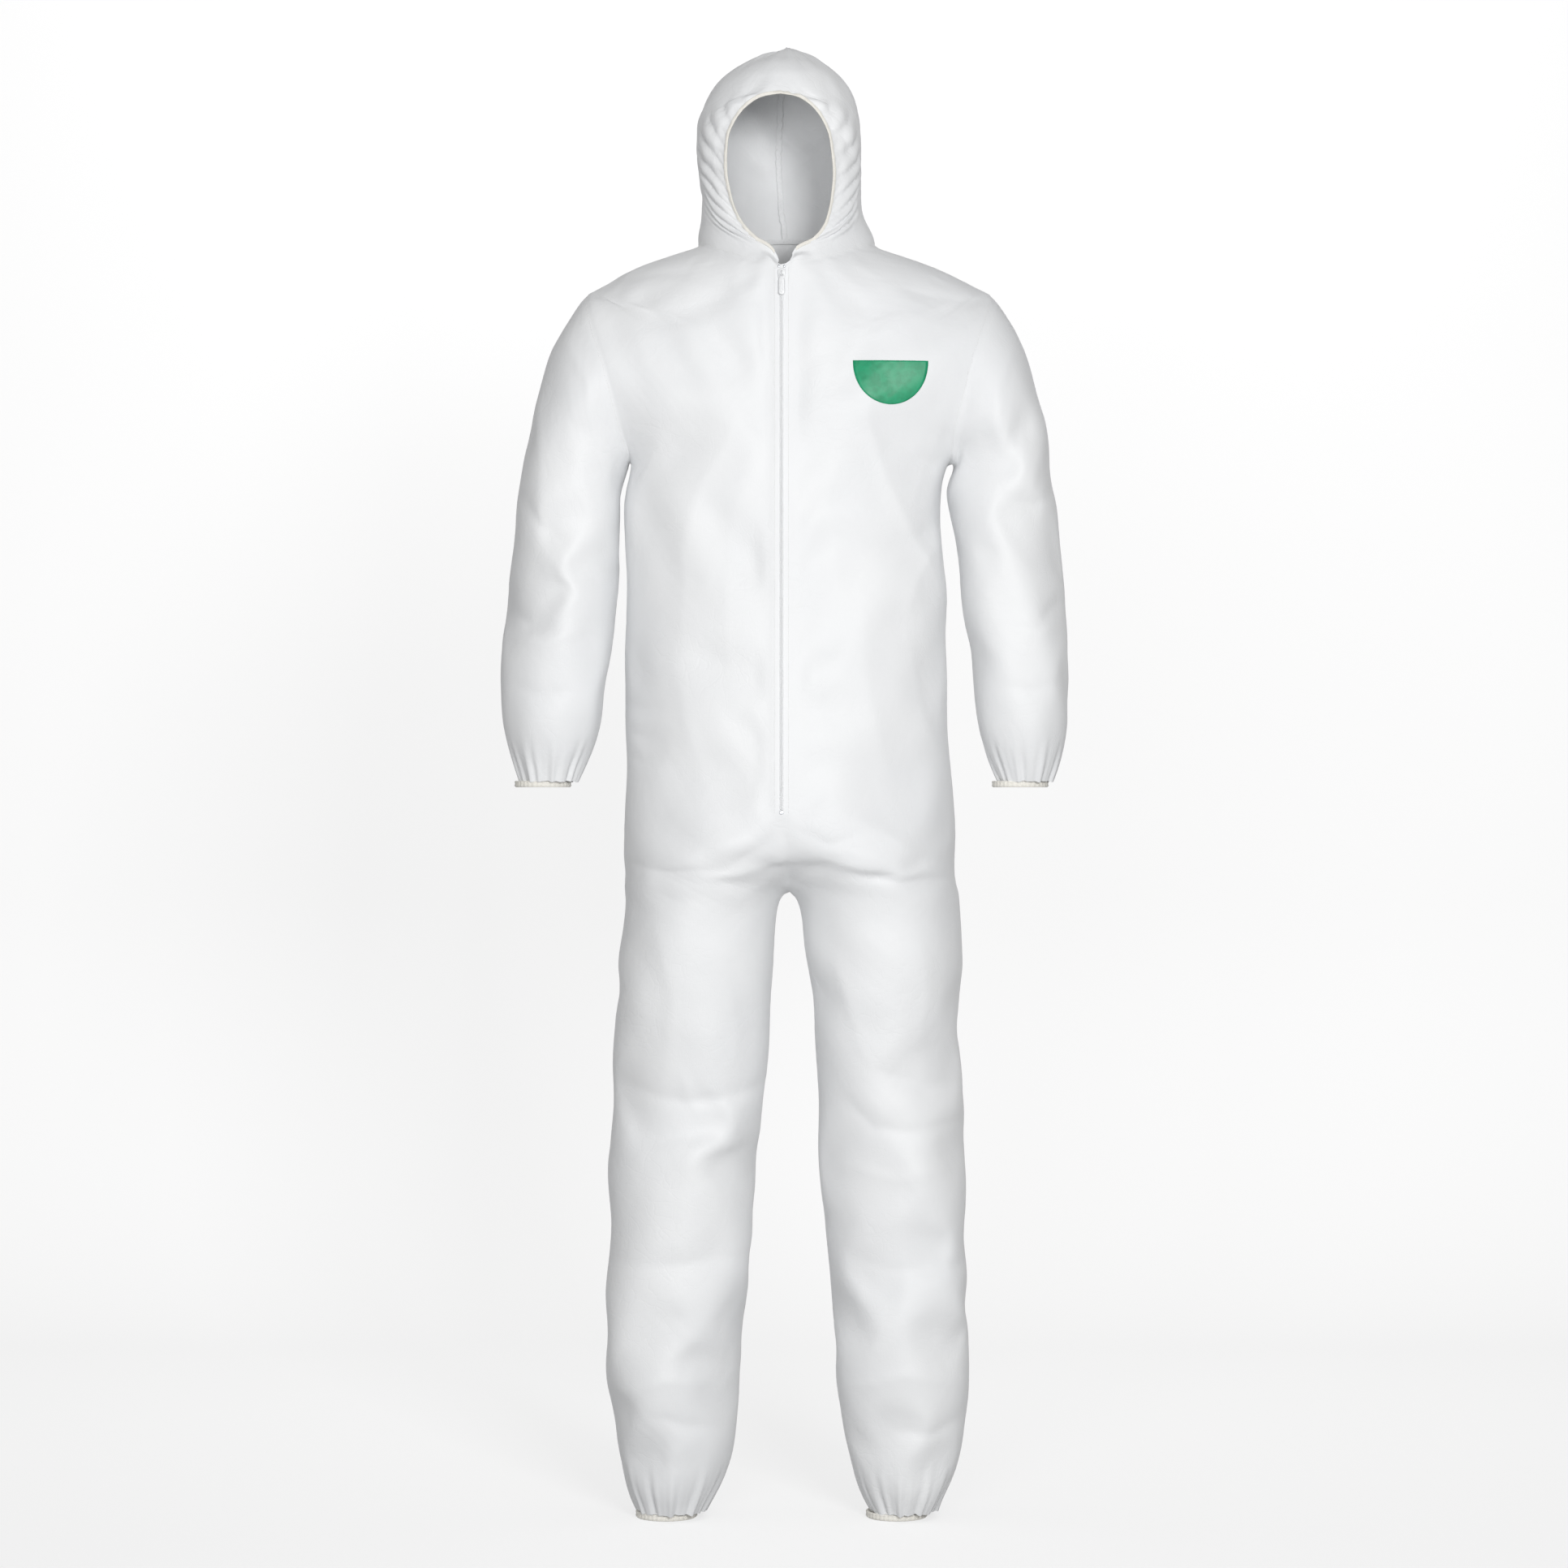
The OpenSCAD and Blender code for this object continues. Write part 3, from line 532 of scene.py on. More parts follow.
def refine(points, faces, marks):
    obj = meshObject("fine", points, faces)
    for name, values in marks.items():
        vector = values.ndim == 2
        layer = obj.data.attributes.new(name, "FLOAT_VECTOR" if vector else "FLOAT", "POINT")
        layer.data.foreach_set("vector" if vector else "value", values.astype(np.float32).ravel())
    finer = obj.modifiers.new("finer", "SUBSURF")
    finer.levels = finer.render_levels = 1
    mesh = bpy.data.meshes.new_from_object(obj.evaluated_get(bpy.context.evaluated_depsgraph_get()))
    fine = np.zeros(len(mesh.vertices) * 3, np.float32)
    mesh.vertices.foreach_get("co", fine)
    loops = np.zeros(len(mesh.loops), np.int32)
    mesh.loops.foreach_get("vertex_index", loops)
    out = {}
    for name, values in marks.items():
        vector = values.ndim == 2
        data = np.zeros(len(mesh.vertices) * (3 if vector else 1), np.float32)
        mesh.attributes[name].data.foreach_get("vector" if vector else "value", data)
        out[name] = data.reshape(-1, 3).astype(float) if vector else data.astype(float)
    bpy.data.objects.remove(obj)
    bpy.data.meshes.remove(mesh)
    return fine.reshape(-1, 3).astype(float), loops.reshape(-1, 4), out


def normalsOf(points, faces):
    a, b, c, d = (points[faces[:, k]] for k in range(4))
    flat = np.cross(c - a, d - b)
    total = np.zeros_like(points)
    for k in range(4):
        np.add.at(total, faces[:, k], flat)
    return total / np.maximum(np.linalg.norm(total, axis=1), 1e-12)[:, None]


seam, along, away = netMarks()
fine, faces, marks = refine(settled, quads, {"laid": places, "seam": seam, "along": along, "away": away,
                                             "sleeve": onSleeve.astype(float)})
facePart = np.repeat(parts, [len(set(face)) for face in quads.tolist()])
laid = marks["laid"]
print("fine surface:", len(fine), "points")


# Fold lines pressed and hung into the fabric, front view, in millimetres across and up. Each is its line, its height
# (a valley is negative), and how far it fades below and above the line.
folds = [
    # shoulders and chest
    ([(-270, 1522), (-200, 1524), (-120, 1526)], -2.2, (14, 7)),
    ([(250, 1492), (190, 1496), (130, 1502)], -2.0, (14, 7)),
    ([(-150, 1515), (-90, 1500), (-30, 1505)], 1.6, (18, 10)),
    ([(-190, 1440), (-120, 1452), (-60, 1475)], 2.2, (26, 14)),
    ([(200, 1455), (140, 1470), (100, 1460)], 1.6, (20, 12)),
    # body, on the wearer's left: the long ridge from the chest down, and its branches
    ([(96, 1352), (104, 1300), (134, 1240), (171, 1157)], 4.6, (10, 24)),
    ([(196, 1210), (168, 1180), (150, 1150), (140, 1110)], 3.2, (9, 16)),
    ([(200, 1238), (160, 1205), (120, 1190)], -2.6, (9, 12)),
    ([(190, 1345), (160, 1290), (150, 1240)], 2.4, (14, 10)),
    ([(60, 1330), (52, 1240), (60, 1150), (84, 1060)], 1.8, (20, 16)),
    ([(30, 1130), (36, 1030), (48, 940)], 2.2, (16, 12)),
    ([(92, 1120), (98, 1010), (120, 920)], 2.0, (20, 14)),
    ([(150, 1060), (160, 990), (190, 930)], 2.0, (16, 12)),
    # body, on the wearer's right
    ([(-60, 1345), (-95, 1270), (-120, 1180), (-122, 1080)], 2.8, (22, 16)),
    ([(-150, 1330), (-172, 1270), (-180, 1190)], 2.2, (14, 10)),
    ([(-40, 1290), (-62, 1210), (-70, 1100), (-60, 1000)], 1.8, (22, 16)),
    ([(-130, 1060), (-120, 980), (-100, 900)], 2.0, (18, 14)),
    ([(-192, 1000), (-172, 992), (-150, 996)], -2.4, (6, 6)),
    ([(-194, 970), (-176, 960), (-158, 962)], -2.0, (5, 6)),
    ([(-194, 938), (-178, 930), (-164, 934)], -1.8, (5, 5)),
    # creases that fan out from the crotch
    ([(-6, 845), (-36, 825), (-70, 806), (-101, 795)], -3.0, (7, 9)),
    ([(-4, 812), (-50, 800), (-101, 790)], 2.6, (9, 8)),
    ([(14, 865), (39, 885), (44, 905)], -2.4, (6, 7)),
    ([(16, 850), (49, 832), (84, 842)], -2.8, (7, 8)),
    ([(39, 815), (79, 807), (134, 795)], 2.8, (8, 9)),
    ([(69, 870), (110, 848), (149, 822)], 2.4, (12, 8)),
    ([(-20, 880), (-70, 868), (-120, 872)], 1.8, (14, 9)),
    # thighs and knees
    ([(-199, 806), (-150, 797), (-90, 803)], -2.6, (8, 6)),
    ([(60, 800), (130, 786), (214, 790)], -2.8, (8, 6)),
    ([(49, 700), (70, 640), (89, 580)], 3.0, (10, 16)),
    ([(-160, 730), (-140, 650), (-150, 570)], 2.6, (14, 18)),
    ([(-80, 690), (-66, 610), (-72, 560)], 2.0, (12, 14)),
    ([(150, 720), (166, 650), (160, 590)], 2.4, (14, 16)),
    ([(-204, 535), (-166, 524), (-126, 518), (-70, 529), (-16, 545)], -4.2, (8, 12)),
    ([(-130, 548), (-125, 520), (-110, 500)], 2.6, (8, 8)),
    ([(104, 560), (140, 545), (169, 535), (221, 538)], -3.8, (8, 12)),
    ([(64, 525), (99, 490), (150, 482), (221, 492)], -3.6, (9, 11)),
    ([(-190, 470), (-120, 455), (-50, 470)], 2.4, (16, 10)),
    ([(60, 440), (130, 425), (200, 440)], 2.2, (16, 10)),
    # shins
    ([(-212, 322), (-150, 314), (-90, 326), (-36, 318)], -3.0, (9, 12)),
    ([(179, 310), (200, 318), (224, 320)], -3.0, (8, 10)),
    ([(70, 330), (120, 312), (179, 310)], -2.0, (10, 12)),
    ([(-120, 440), (-132, 350), (-128, 250)], 1.8, (20, 16)),
    ([(130, 420), (142, 340), (136, 250)], 1.8, (20, 16)),
    ([(-161, 130), (-120, 118), (-81, 112)], -3.2, (8, 10)),
    ([(129, 110), (169, 105), (209, 125)], -3.4, (8, 10)),
    ([(-200, 160), (-150, 176), (-90, 170)], 2.4, (12, 9)),
    ([(80, 165), (140, 182), (206, 170)], 2.4, (12, 9)),
    # sleeves
    ([(349, 1130), (330, 1112), (314, 1095)], -4.2, (7, 9)),
    ([(345, 1100), (310, 1082), (262, 1092)], 3.0, (10, 9)),
    ([(-346, 1118), (-318, 1096), (-280, 1090)], -4.0, (8, 9)),
    ([(-344, 1082), (-300, 1070), (-250, 1084)], 3.0, (10, 9)),
    ([(-330, 1262), (-300, 1215), (-262, 1190)], -2.8, (10, 12)),
    ([(-310, 1380), (-296, 1300), (-300, 1220)], 2.6, (12, 14)),
    ([(316, 1385), (306, 1300), (318, 1210)], 2.6, (12, 14)),
    ([(336, 1270), (302, 1240), (250, 1250)], -2.8, (10, 12)),
    ([(-270, 1440), (-244, 1390), (-236, 1330)], 2.2, (9, 12)),
    ([(276, 1440), (256, 1385), (250, 1320)], 2.2, (9, 12)),
    ([(-340, 1020), (-300, 1006), (-252, 1014)], -2.4, (9, 9)),
    ([(346, 1030), (300, 1012), (256, 1020)], -2.4, (9, 9)),
    # brow of the hood
    ([(-66, 1790), (-20, 1796), (34, 1794), (64, 1784)], -1.8, (6, 8)),
    ([(-50, 1772), (0, 1768), (52, 1774)], 1.4, (9, 8)),
]


def foldHeight(points, line, height, fade):
    x, z = points[:, 0] * 1000, points[:, 2] * 1000
    line = np.array(line, float)
    lengths = np.linalg.norm(np.diff(line, axis=0), axis=1)
    total, done = lengths.sum(), 0.0
    best, signed, share = np.full(len(points), 1e9), np.zeros(len(points)), np.zeros(len(points))
    for (ax, az), (bx, bz), length in zip(line[:-1], line[1:], lengths):
        dx, dz = (bx - ax) / length, (bz - az) / length
        t = np.clip((x - ax) * dx + (z - az) * dz, 0, length)
        gap = np.hypot(x - ax - t * dx, z - az - t * dz)
        near = gap < best
        up = (z - az - t * dz) * abs(dx) + (x - ax - t * dx) * (-dz if dx >= 0 else dz)
        best[near], signed[near], share[near] = gap[near], up[near], (done + t[near]) / total
        done += length
    width = np.where(signed < 0, fade[0], fade[1])
    rounded = np.sqrt(best ** 2 + 6.0) - math.sqrt(6.0)
    ends = np.sqrt(np.maximum(0, np.sin(np.pi * (0.04 + 0.92 * share))))
    return height * np.exp(-rounded / width) * ends


def sculpt(points):
    normal = normalsOf(points, faces)
    lift = np.zeros(len(points))
    facing = smooth(-normal[:, 1], 0.0, 0.45)
    for line, height, fade in folds:
        lift += foldHeight(laid, line, height, fade) * facing * 0.001
    x, y, z = laid.T
    # the same fabric on the back hangs in fewer, longer folds
    behind = smooth(normal[:, 1], 0.1, 0.5)
    for line, height, fade in folds[6:22:2] + folds[33:42:2]:
        mirrored = laid * [-1, 1, 1] + [0.012, 0, -0.02]
        lift += foldHeight(mirrored, line, height * 0.8, fade) * behind * 0.001
    # gathers above the ankle and wrist elastics
    for side in sides:
        s = across[side]
        ankle = np.arctan2(y - 0.01, x - s * 0.142)
        low = (1 - smooth(z, 0.012, 0.075)) * (z < 0.2) * (x * s > 0)
        lift += low * (1.5 * np.cos(19 * ankle + 1.3 * s) + 0.9 * np.cos(31 * ankle + 2 * s)
                       + 1.6 * np.cos(8 * ankle + 0.7)) * 0.001
        wrist = np.arctan2(y, x - s * 0.294)
        cuff = (1 - smooth(z, 0.912, 0.965)) * (marks["sleeve"] > 0.5) * (x * s > 0)
        lift += cuff * (1.3 * np.cos(17 * wrist + s) + 0.8 * np.cos(27 * wrist) + 1.1 * np.cos(7 * wrist + 2)) * 0.001
    # gathers round the face opening
    a, far = marks["along"], marks["away"]
    sideways = smooth(a, 0.06, 0.16) * (1 - smooth(a, 0.86, 0.97))
    slant = a - far * 3.6
    near = np.exp(-((far - 0.004) / 0.016) ** 2) * smooth(far, 0.0, 0.006)
    wide = np.exp(-((far - 0.036) / 0.03) ** 2) * smooth(far, 0.004, 0.02)
    lift += sideways * (near * 1.2 * np.cos(2 * np.pi * 19 * slant + 0.8 * x / 0.06)
                        + wide * 6.0 * np.abs(np.cos(np.pi * 9.5 * slant + x * 20)) ** 0.7) * 0.001
    brow = smooth(a, 0.86, 0.97) * np.exp(-far / 0.012) * smooth(far, 0.0, 0.004)
    lift += brow * 0.8 * np.cos(2 * np.pi * x / 0.011) * 0.001
    # seams sink a little and pucker
    pucker = 0.75 + 0.25 * np.cos(z * 420 + 1.7 * np.sin(z * 95)) * np.cos((x + y) * 330)
    lift -= marks["seam"] ** 2 * pucker * 0.0011
    return points + normal * lift[:, None]


fine = sculpt(fine)


def finish(name):
    material = bpy.data.materials.new(name)
    material.use_nodes = True
    nodes = material.node_tree.nodes
    shader = nodes["Principled BSDF"]
    return material, nodes, material.node_tree.links, shader


def node(nodes, kind, **values):
    made = nodes.new(kind)
    for key, value in values.items():
        if hasattr(made, key):
            setattr(made, key, value)
        else:
            made.inputs[key.replace("_", " ")].default_value = value
    return made


def bumped(nodes, links, shader, heights, strength, distance):
    normal = None
    for height, share in heights:
        bump = node(nodes, "ShaderNodeBump", Strength=strength * share, Distance=distance)
        links.new(height, bump.inputs["Height"])
        if normal:
            links.new(normal, bump.inputs["Normal"])
        normal = bump.outputs["Normal"]
    links.new(normal, shader.inputs["Normal"])


# Laminated fabric: a soft white film, with fine creases in patches, small crumples and a point-bonded grain
suitCloth = {"white": (0.86, 0.868, 0.876, 1), "shade": (0.815, 0.825, 0.838, 1), "roughness": 0.5, "crease": 0.2,
             "grainPitch": 0.0018}


def clothFinish(name="suitFabric"):
    material, nodes, links, shader = finish(name)
    place = node(nodes, "ShaderNodeAttribute", attribute_name="laid").outputs["Vector"]
    warp = node(nodes, "ShaderNodeTexNoise", Scale=14.0, Detail=3.0, Roughness=0.55)
    links.new(place, warp.inputs["Vector"])
    bent = node(nodes, "ShaderNodeVectorMath", operation="MULTIPLY_ADD")
    bent.inputs[1].default_value = (0.045, 0.045, 0.045)
    links.new(warp.outputs["Color"], bent.inputs[0])
    links.new(place, bent.inputs[2])
    lines = []
    for scale, width in ((21.0, 0.03), (52.0, 0.05)):
        cell = node(nodes, "ShaderNodeTexVoronoi", feature="DISTANCE_TO_EDGE", Scale=scale)
        links.new(bent.outputs[0], cell.inputs["Vector"])
        edge = node(nodes, "ShaderNodeMapRange", interpolation_type="SMOOTHERSTEP")
        edge.inputs["From Max"].default_value = width
        links.new(cell.outputs["Distance"], edge.inputs["Value"])
        lines.append(edge.outputs["Result"])
    patch = node(nodes, "ShaderNodeTexNoise", Scale=9.0, Detail=2.0)
    links.new(place, patch.inputs["Vector"])
    where = node(nodes, "ShaderNodeMapRange")
    where.inputs["From Min"].default_value, where.inputs["From Max"].default_value = 0.46, 0.62
    links.new(patch.outputs["Fac"], where.inputs["Value"])
    both = node(nodes, "ShaderNodeMath", operation="MULTIPLY")
    links.new(lines[0], both.inputs[0])
    links.new(lines[1], both.inputs[1])
    creased = node(nodes, "ShaderNodeMix")
    links.new(where.outputs["Result"], creased.inputs["Factor"])
    creased.inputs["A"].default_value = 1.0
    links.new(both.outputs[0], creased.inputs["B"])
    crumple = node(nodes, "ShaderNodeTexNoise", Scale=75.0, Detail=4.0, Roughness=0.6)
    links.new(bent.outputs[0], crumple.inputs["Vector"])
    soft = node(nodes, "ShaderNodeTexNoise", Scale=22.0, Detail=2.0)
    links.new(place, soft.inputs["Vector"])
    grain = node(nodes, "ShaderNodeTexVoronoi", Scale=1 / suitCloth["grainPitch"], Randomness=0.25)
    links.new(place, grain.inputs["Vector"])
    bumped(nodes, links, shader, [(soft.outputs["Fac"], 0.9), (crumple.outputs["Fac"], 0.4),
                                  (creased.outputs["Result"], suitCloth["crease"]), (grain.outputs["Distance"], 0.06)],
           0.55, 0.0016)
    tint = node(nodes, "ShaderNodeTexNoise", Scale=5.0, Detail=3.0)
    links.new(place, tint.inputs["Vector"])
    colour = node(nodes, "ShaderNodeMix", data_type="RGBA")
    colour.inputs["A"].default_value, colour.inputs["B"].default_value = suitCloth["shade"], suitCloth["white"]
    ramp = node(nodes, "ShaderNodeMapRange")
    ramp.inputs["From Min"].default_value, ramp.inputs["From Max"].default_value = 0.3, 0.6
    links.new(tint.outputs["Fac"], ramp.inputs["Value"])
    links.new(ramp.outputs["Result"], colour.inputs["Factor"])
    links.new(colour.outputs["Result"], shader.inputs["Base Color"])
    shader.inputs["Roughness"].default_value = suitCloth["roughness"]
    shader.inputs["Specular IOR Level"].default_value = 0.32
    shader.inputs["Sheen Weight"].default_value = 0.08
    return material


# Plain finishes: colour, its darker mate, roughness, metal, size of the mottling and of the bump
plainFinishes = {
    "elasticIvory": ((0.88, 0.86, 0.8, 1), (0.8, 0.77, 0.7, 1), 0.7, 0.0, 900.0, 0.0004),
    "threadWhite": ((0.84, 0.84, 0.83, 1), (0.74, 0.74, 0.73, 1), 0.65, 0.0, 1500.0, 0.0002),
    "seamWhite": ((0.86, 0.868, 0.876, 1), (0.82, 0.83, 0.84, 1), 0.55, 0.0, 400.0, 0.0003),
    "zipTapeWhite": ((0.87, 0.875, 0.88, 1), (0.82, 0.83, 0.84, 1), 0.7, 0.0, 1200.0, 0.0003),
    "coilWhite": ((0.86, 0.865, 0.87, 1), (0.8, 0.81, 0.82, 1), 0.4, 0.0, 700.0, 0.0001),
    "sliderWhite": ((0.8, 0.81, 0.82, 1), (0.74, 0.75, 0.76, 1), 0.34, 0.0, 500.0, 0.0001),
    "stopMetal": ((0.42, 0.43, 0.45, 1), (0.3, 0.31, 0.33, 1), 0.36, 0.9, 600.0, 0.0001),
    "patchGreen": ((0.006, 0.33, 0.15, 1), (0.004, 0.27, 0.12, 1), 0.42, 0.0, 130.0, 0.0002),
}


def plainFinish(name):
    light, dark, roughness, metal, scale, depth = plainFinishes[name]
    material, nodes, links, shader = finish(name)
    place = node(nodes, "ShaderNodeTexCoord").outputs["Object"]
    noise = node(nodes, "ShaderNodeTexNoise", Scale=scale, Detail=3.0)
    links.new(place, noise.inputs["Vector"])
    colour = node(nodes, "ShaderNodeMix", data_type="RGBA")
    colour.inputs["A"].default_value, colour.inputs["B"].default_value = dark, light
    spread = node(nodes, "ShaderNodeMapRange")
    spread.inputs["From Min"].default_value, spread.inputs["From Max"].default_value = 0.35, 0.6
    links.new(noise.outputs["Fac"], spread.inputs["Value"])
    links.new(spread.outputs["Result"], colour.inputs["Factor"])
    links.new(colour.outputs["Result"], shader.inputs["Base Color"])
    shader.inputs["Roughness"].default_value = roughness
    shader.inputs["Metallic"].default_value = metal
    bumped(nodes, links, shader, [(noise.outputs["Fac"], 1.0)], 0.4, depth)
    return material


fabric = clothFinish()
looks = {name: plainFinish(name) for name in plainFinishes}
print("finishes ready")


for side in sides:
    s = across[side]


def bendLike(obj):
    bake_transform(obj)


def finished(obj, material, smoothShade=True):
    if not obj.data.materials:
        obj.data.materials.append(material)
    if smoothShade:
        obj.data.shade_smooth()
    return obj


# Fabric pieces cut out of the fine surface
shell = {"thickness": 0.0007, "legCut": 0.612, "sleeveCut": 1.145, "zipEdge": 0.0033, "zipEase": 0.024,
         "zipRise": 0.0024, "zipTop": 1.545, "zipBottom": 0.866}


def partZip(points):
    x, y, z = points.T
    side, fromZip = np.sign(laid[:, 0]), np.abs(laid[:, 0])
    front = (laid[:, 1] < 0) & (marks["sleeve"] < 0.5)
    low = smooth(laid[:, 2], shell["zipBottom"] - 0.012, shell["zipBottom"] + 0.004)
    tall = low * (laid[:, 2] < shell["zipTop"])
    near = front & (fromZip < shell["zipEase"])
    eased = shell["zipEdge"] + np.abs(x) * (1 - shell["zipEdge"] / shell["zipEase"])
    share = np.where(near, tall, 0)
    out = points.copy()
    out[:, 0] = np.where(near & (side != 0), x + side * (eased - np.abs(x)) * share, x)
    calm = np.where(front & (fromZip < 0.04), tall * (1 - smooth(fromZip, 0.015, 0.036)), 0)
    flat = y + (-zipDepth(z) - y) * calm
    rise = np.exp(-(fromZip / 0.011) ** 2) * shell["zipRise"] - np.exp(-(fromZip / 0.0028) ** 2) * 0.0006
    rise -= np.exp(-((fromZip - 0.0085) / 0.0018) ** 2) * 0.0006
    out[:, 1] = flat - rise * share
    return out, share


fine, zipShare = partZip(fine)
fineNormal = normalsOf(fine, faces)


def cutOut(name, keep, zipSide=0):
    chosen = faces[keep]
    used, flat = np.unique(chosen, return_inverse=True)
    flat = flat.reshape(-1, 4)
    points, normal = fine[used].copy(), fineNormal[used]
    if zipSide:
        middle = (laid[used, 0] == 0) & (zipShare[used] > 0)
        points[middle, 0] = zipSide * shell["zipEdge"] * zipShare[used][middle]
    count = len(used)
    inner = points - normal * shell["thickness"]
    edges = np.concatenate([flat[:, [k, (k + 1) % 4]] for k in range(4)])
    key = np.minimum(edges[:, 0], edges[:, 1]) * count + np.maximum(edges[:, 0], edges[:, 1])
    _, first, seen = np.unique(key, return_index=True, return_counts=True)
    rim = edges[first[seen == 1]]
    walls = np.stack([rim[:, 1], rim[:, 0], rim[:, 0] + count, rim[:, 1] + count], 1)
    obj = meshObject(name, np.concatenate([points, inner]), np.concatenate([flat, flat[:, ::-1] + count, walls]))
    layer = obj.data.attributes.new("laid", "FLOAT_VECTOR", "POINT")
    layer.data.foreach_set("vector", np.concatenate([laid[used]] * 2).astype(np.float32).ravel())
    obj.data.shade_smooth()
    obj.data.normals_split_custom_set_from_vertices(np.concatenate([normal, -normal]).tolist())
    return finished(obj, fabric)


faceHeight = laid[faces].mean(axis=1)[:, 2]
numbers = {name: k for k, name in enumerate(panels)}
for side in sides:
    for part in ("front", "back"):
        onPart = facePart == numbers[side, part]
        name = side + part.capitalize()
        body = cutOut(name + "Body", onPart & (faceHeight > shell["legCut"]), across[side] if part == "front" else 0)
        leg = cutOut(name + "Leg", onPart & (faceHeight <= shell["legCut"]))
        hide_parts(f"{side}_{part}_panel")
        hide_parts(f"{side}_{part}_thigh", f"{side}_{part}_shin")
        bendLike(body)
        bendLike(leg)
    onPart = facePart == numbers[side, "sleeve"]
    upper = cutOut(side + "UpperSleeve", onPart & (faceHeight > shell["sleeveCut"]))
    lower = cutOut(side + "LowerSleeve", onPart & (faceHeight <= shell["sleeveCut"]))
    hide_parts(side + "_sleeve_head", side + "_upper_sleeve")
    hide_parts(side + "_lower_sleeve")
    bendLike(upper)
    bendLike(lower)
    half = cutOut(side + "Hood", facePart == numbers[side, "hood"])
    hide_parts(side + "_hood_panel")
    bendLike(half)
print("fabric pieces cut")


# Things sewn along a line: the threads and teeth are made by Geometry Nodes
def repeatTree(name):
    tree = bpy.data.node_groups.new(name, "GeometryNodeTree")
    kinds = {"Line": "Geometry", "Pitch": "Float", "Length": "Float", "Radius": "Float", "Lift": "Float",
             "Turn": "Float", "Finish": "Material"}
    for label, kind in kinds.items():
        tree.interface.new_socket(label, in_out="INPUT", socket_type="NodeSocket" + kind)
    tree.interface.new_socket("Made", in_out="OUTPUT", socket_type="NodeSocketGeometry")
    nodes, links = tree.nodes, tree.links
    given = nodes.new("NodeGroupInput")
    toCurve = nodes.new("GeometryNodeMeshToCurve")
    spaced = nodes.new("GeometryNodeResampleCurve")
    spaced.mode = "LENGTH"
    links.new(given.outputs["Line"], toCurve.inputs["Mesh"])
    links.new(toCurve.outputs["Curve"], spaced.inputs["Curve"])
    links.new(given.outputs["Pitch"], spaced.inputs["Length"])
    thread = nodes.new("GeometryNodeMeshUVSphere")
    thread.inputs["Segments"].default_value, thread.inputs["Rings"].default_value = 6, 4
    thread.inputs["Radius"].default_value = 1.0
    size = nodes.new("ShaderNodeCombineXYZ")
    for socket, value in zip(size.inputs, ("Radius", "Radius", "Length")):
        links.new(given.outputs[value], socket)
    shaped = nodes.new("GeometryNodeTransform")
    links.new(thread.outputs["Mesh"], shaped.inputs["Geometry"])
    links.new(size.outputs[0], shaped.inputs["Scale"])
    tangent = nodes.new("GeometryNodeInputTangent")
    align = nodes.new("FunctionNodeAlignRotationToVector")
    align.axis = "Z"
    links.new(tangent.outputs[0], align.inputs["Vector"])
    # every second one leans the other way
    index = nodes.new("GeometryNodeInputIndex")
    odd = nodes.new("ShaderNodeMath")
    odd.operation = "MODULO"
    odd.inputs[1].default_value = 2.0
    links.new(index.outputs[0], odd.inputs[0])
    sway = nodes.new("ShaderNodeMath")
    sway.operation = "MULTIPLY_ADD"
    sway.inputs[1].default_value, sway.inputs[2].default_value = 2.0, -1.0
    links.new(odd.outputs[0], sway.inputs[0])
    lean = nodes.new("ShaderNodeMath")
    lean.operation = "MULTIPLY"
    links.new(sway.outputs[0], lean.inputs[0])
    links.new(given.outputs["Turn"], lean.inputs[1])
    turn = nodes.new("ShaderNodeCombineXYZ")
    links.new(lean.outputs[0], turn.inputs[1])
    toRotation = nodes.new("FunctionNodeEulerToRotation")
    links.new(turn.outputs[0], toRotation.inputs[0])
    turned = nodes.new("FunctionNodeRotateRotation")
    links.new(align.outputs[0], turned.inputs[0])
    links.new(toRotation.outputs[0], turned.inputs[1])
    put = nodes.new("GeometryNodeInstanceOnPoints")
    links.new(shaped.outputs["Geometry"], put.inputs["Instance"])
    links.new(turned.outputs[0], put.inputs["Rotation"])
    outward = nodes.new("ShaderNodeVectorMath")
    outward.operation = "SCALE"
    way = nodes.new("GeometryNodeInputNamedAttribute")
    way.data_type = "FLOAT_VECTOR"
    way.inputs["Name"].default_value = "outward"
    links.new(way.outputs[0], outward.inputs[0])
    links.new(given.outputs["Lift"], outward.inputs["Scale"])
    moved = nodes.new("GeometryNodeSetPosition")
    links.new(spaced.outputs["Curve"], moved.inputs["Geometry"])
    links.new(outward.outputs[0], moved.inputs["Offset"])
    links.new(moved.outputs["Geometry"], put.inputs["Points"])
    real = nodes.new("GeometryNodeRealizeInstances")
    links.new(put.outputs[0], real.inputs[0])
    coat = nodes.new("GeometryNodeSetMaterial")
    links.new(real.outputs[0], coat.inputs["Geometry"])
    links.new(given.outputs["Finish"], coat.inputs["Material"])
    made = nodes.new("NodeGroupOutput")
    links.new(coat.outputs[0], made.inputs[0])
    return tree


stitchTree = repeatTree("repeatAlong")


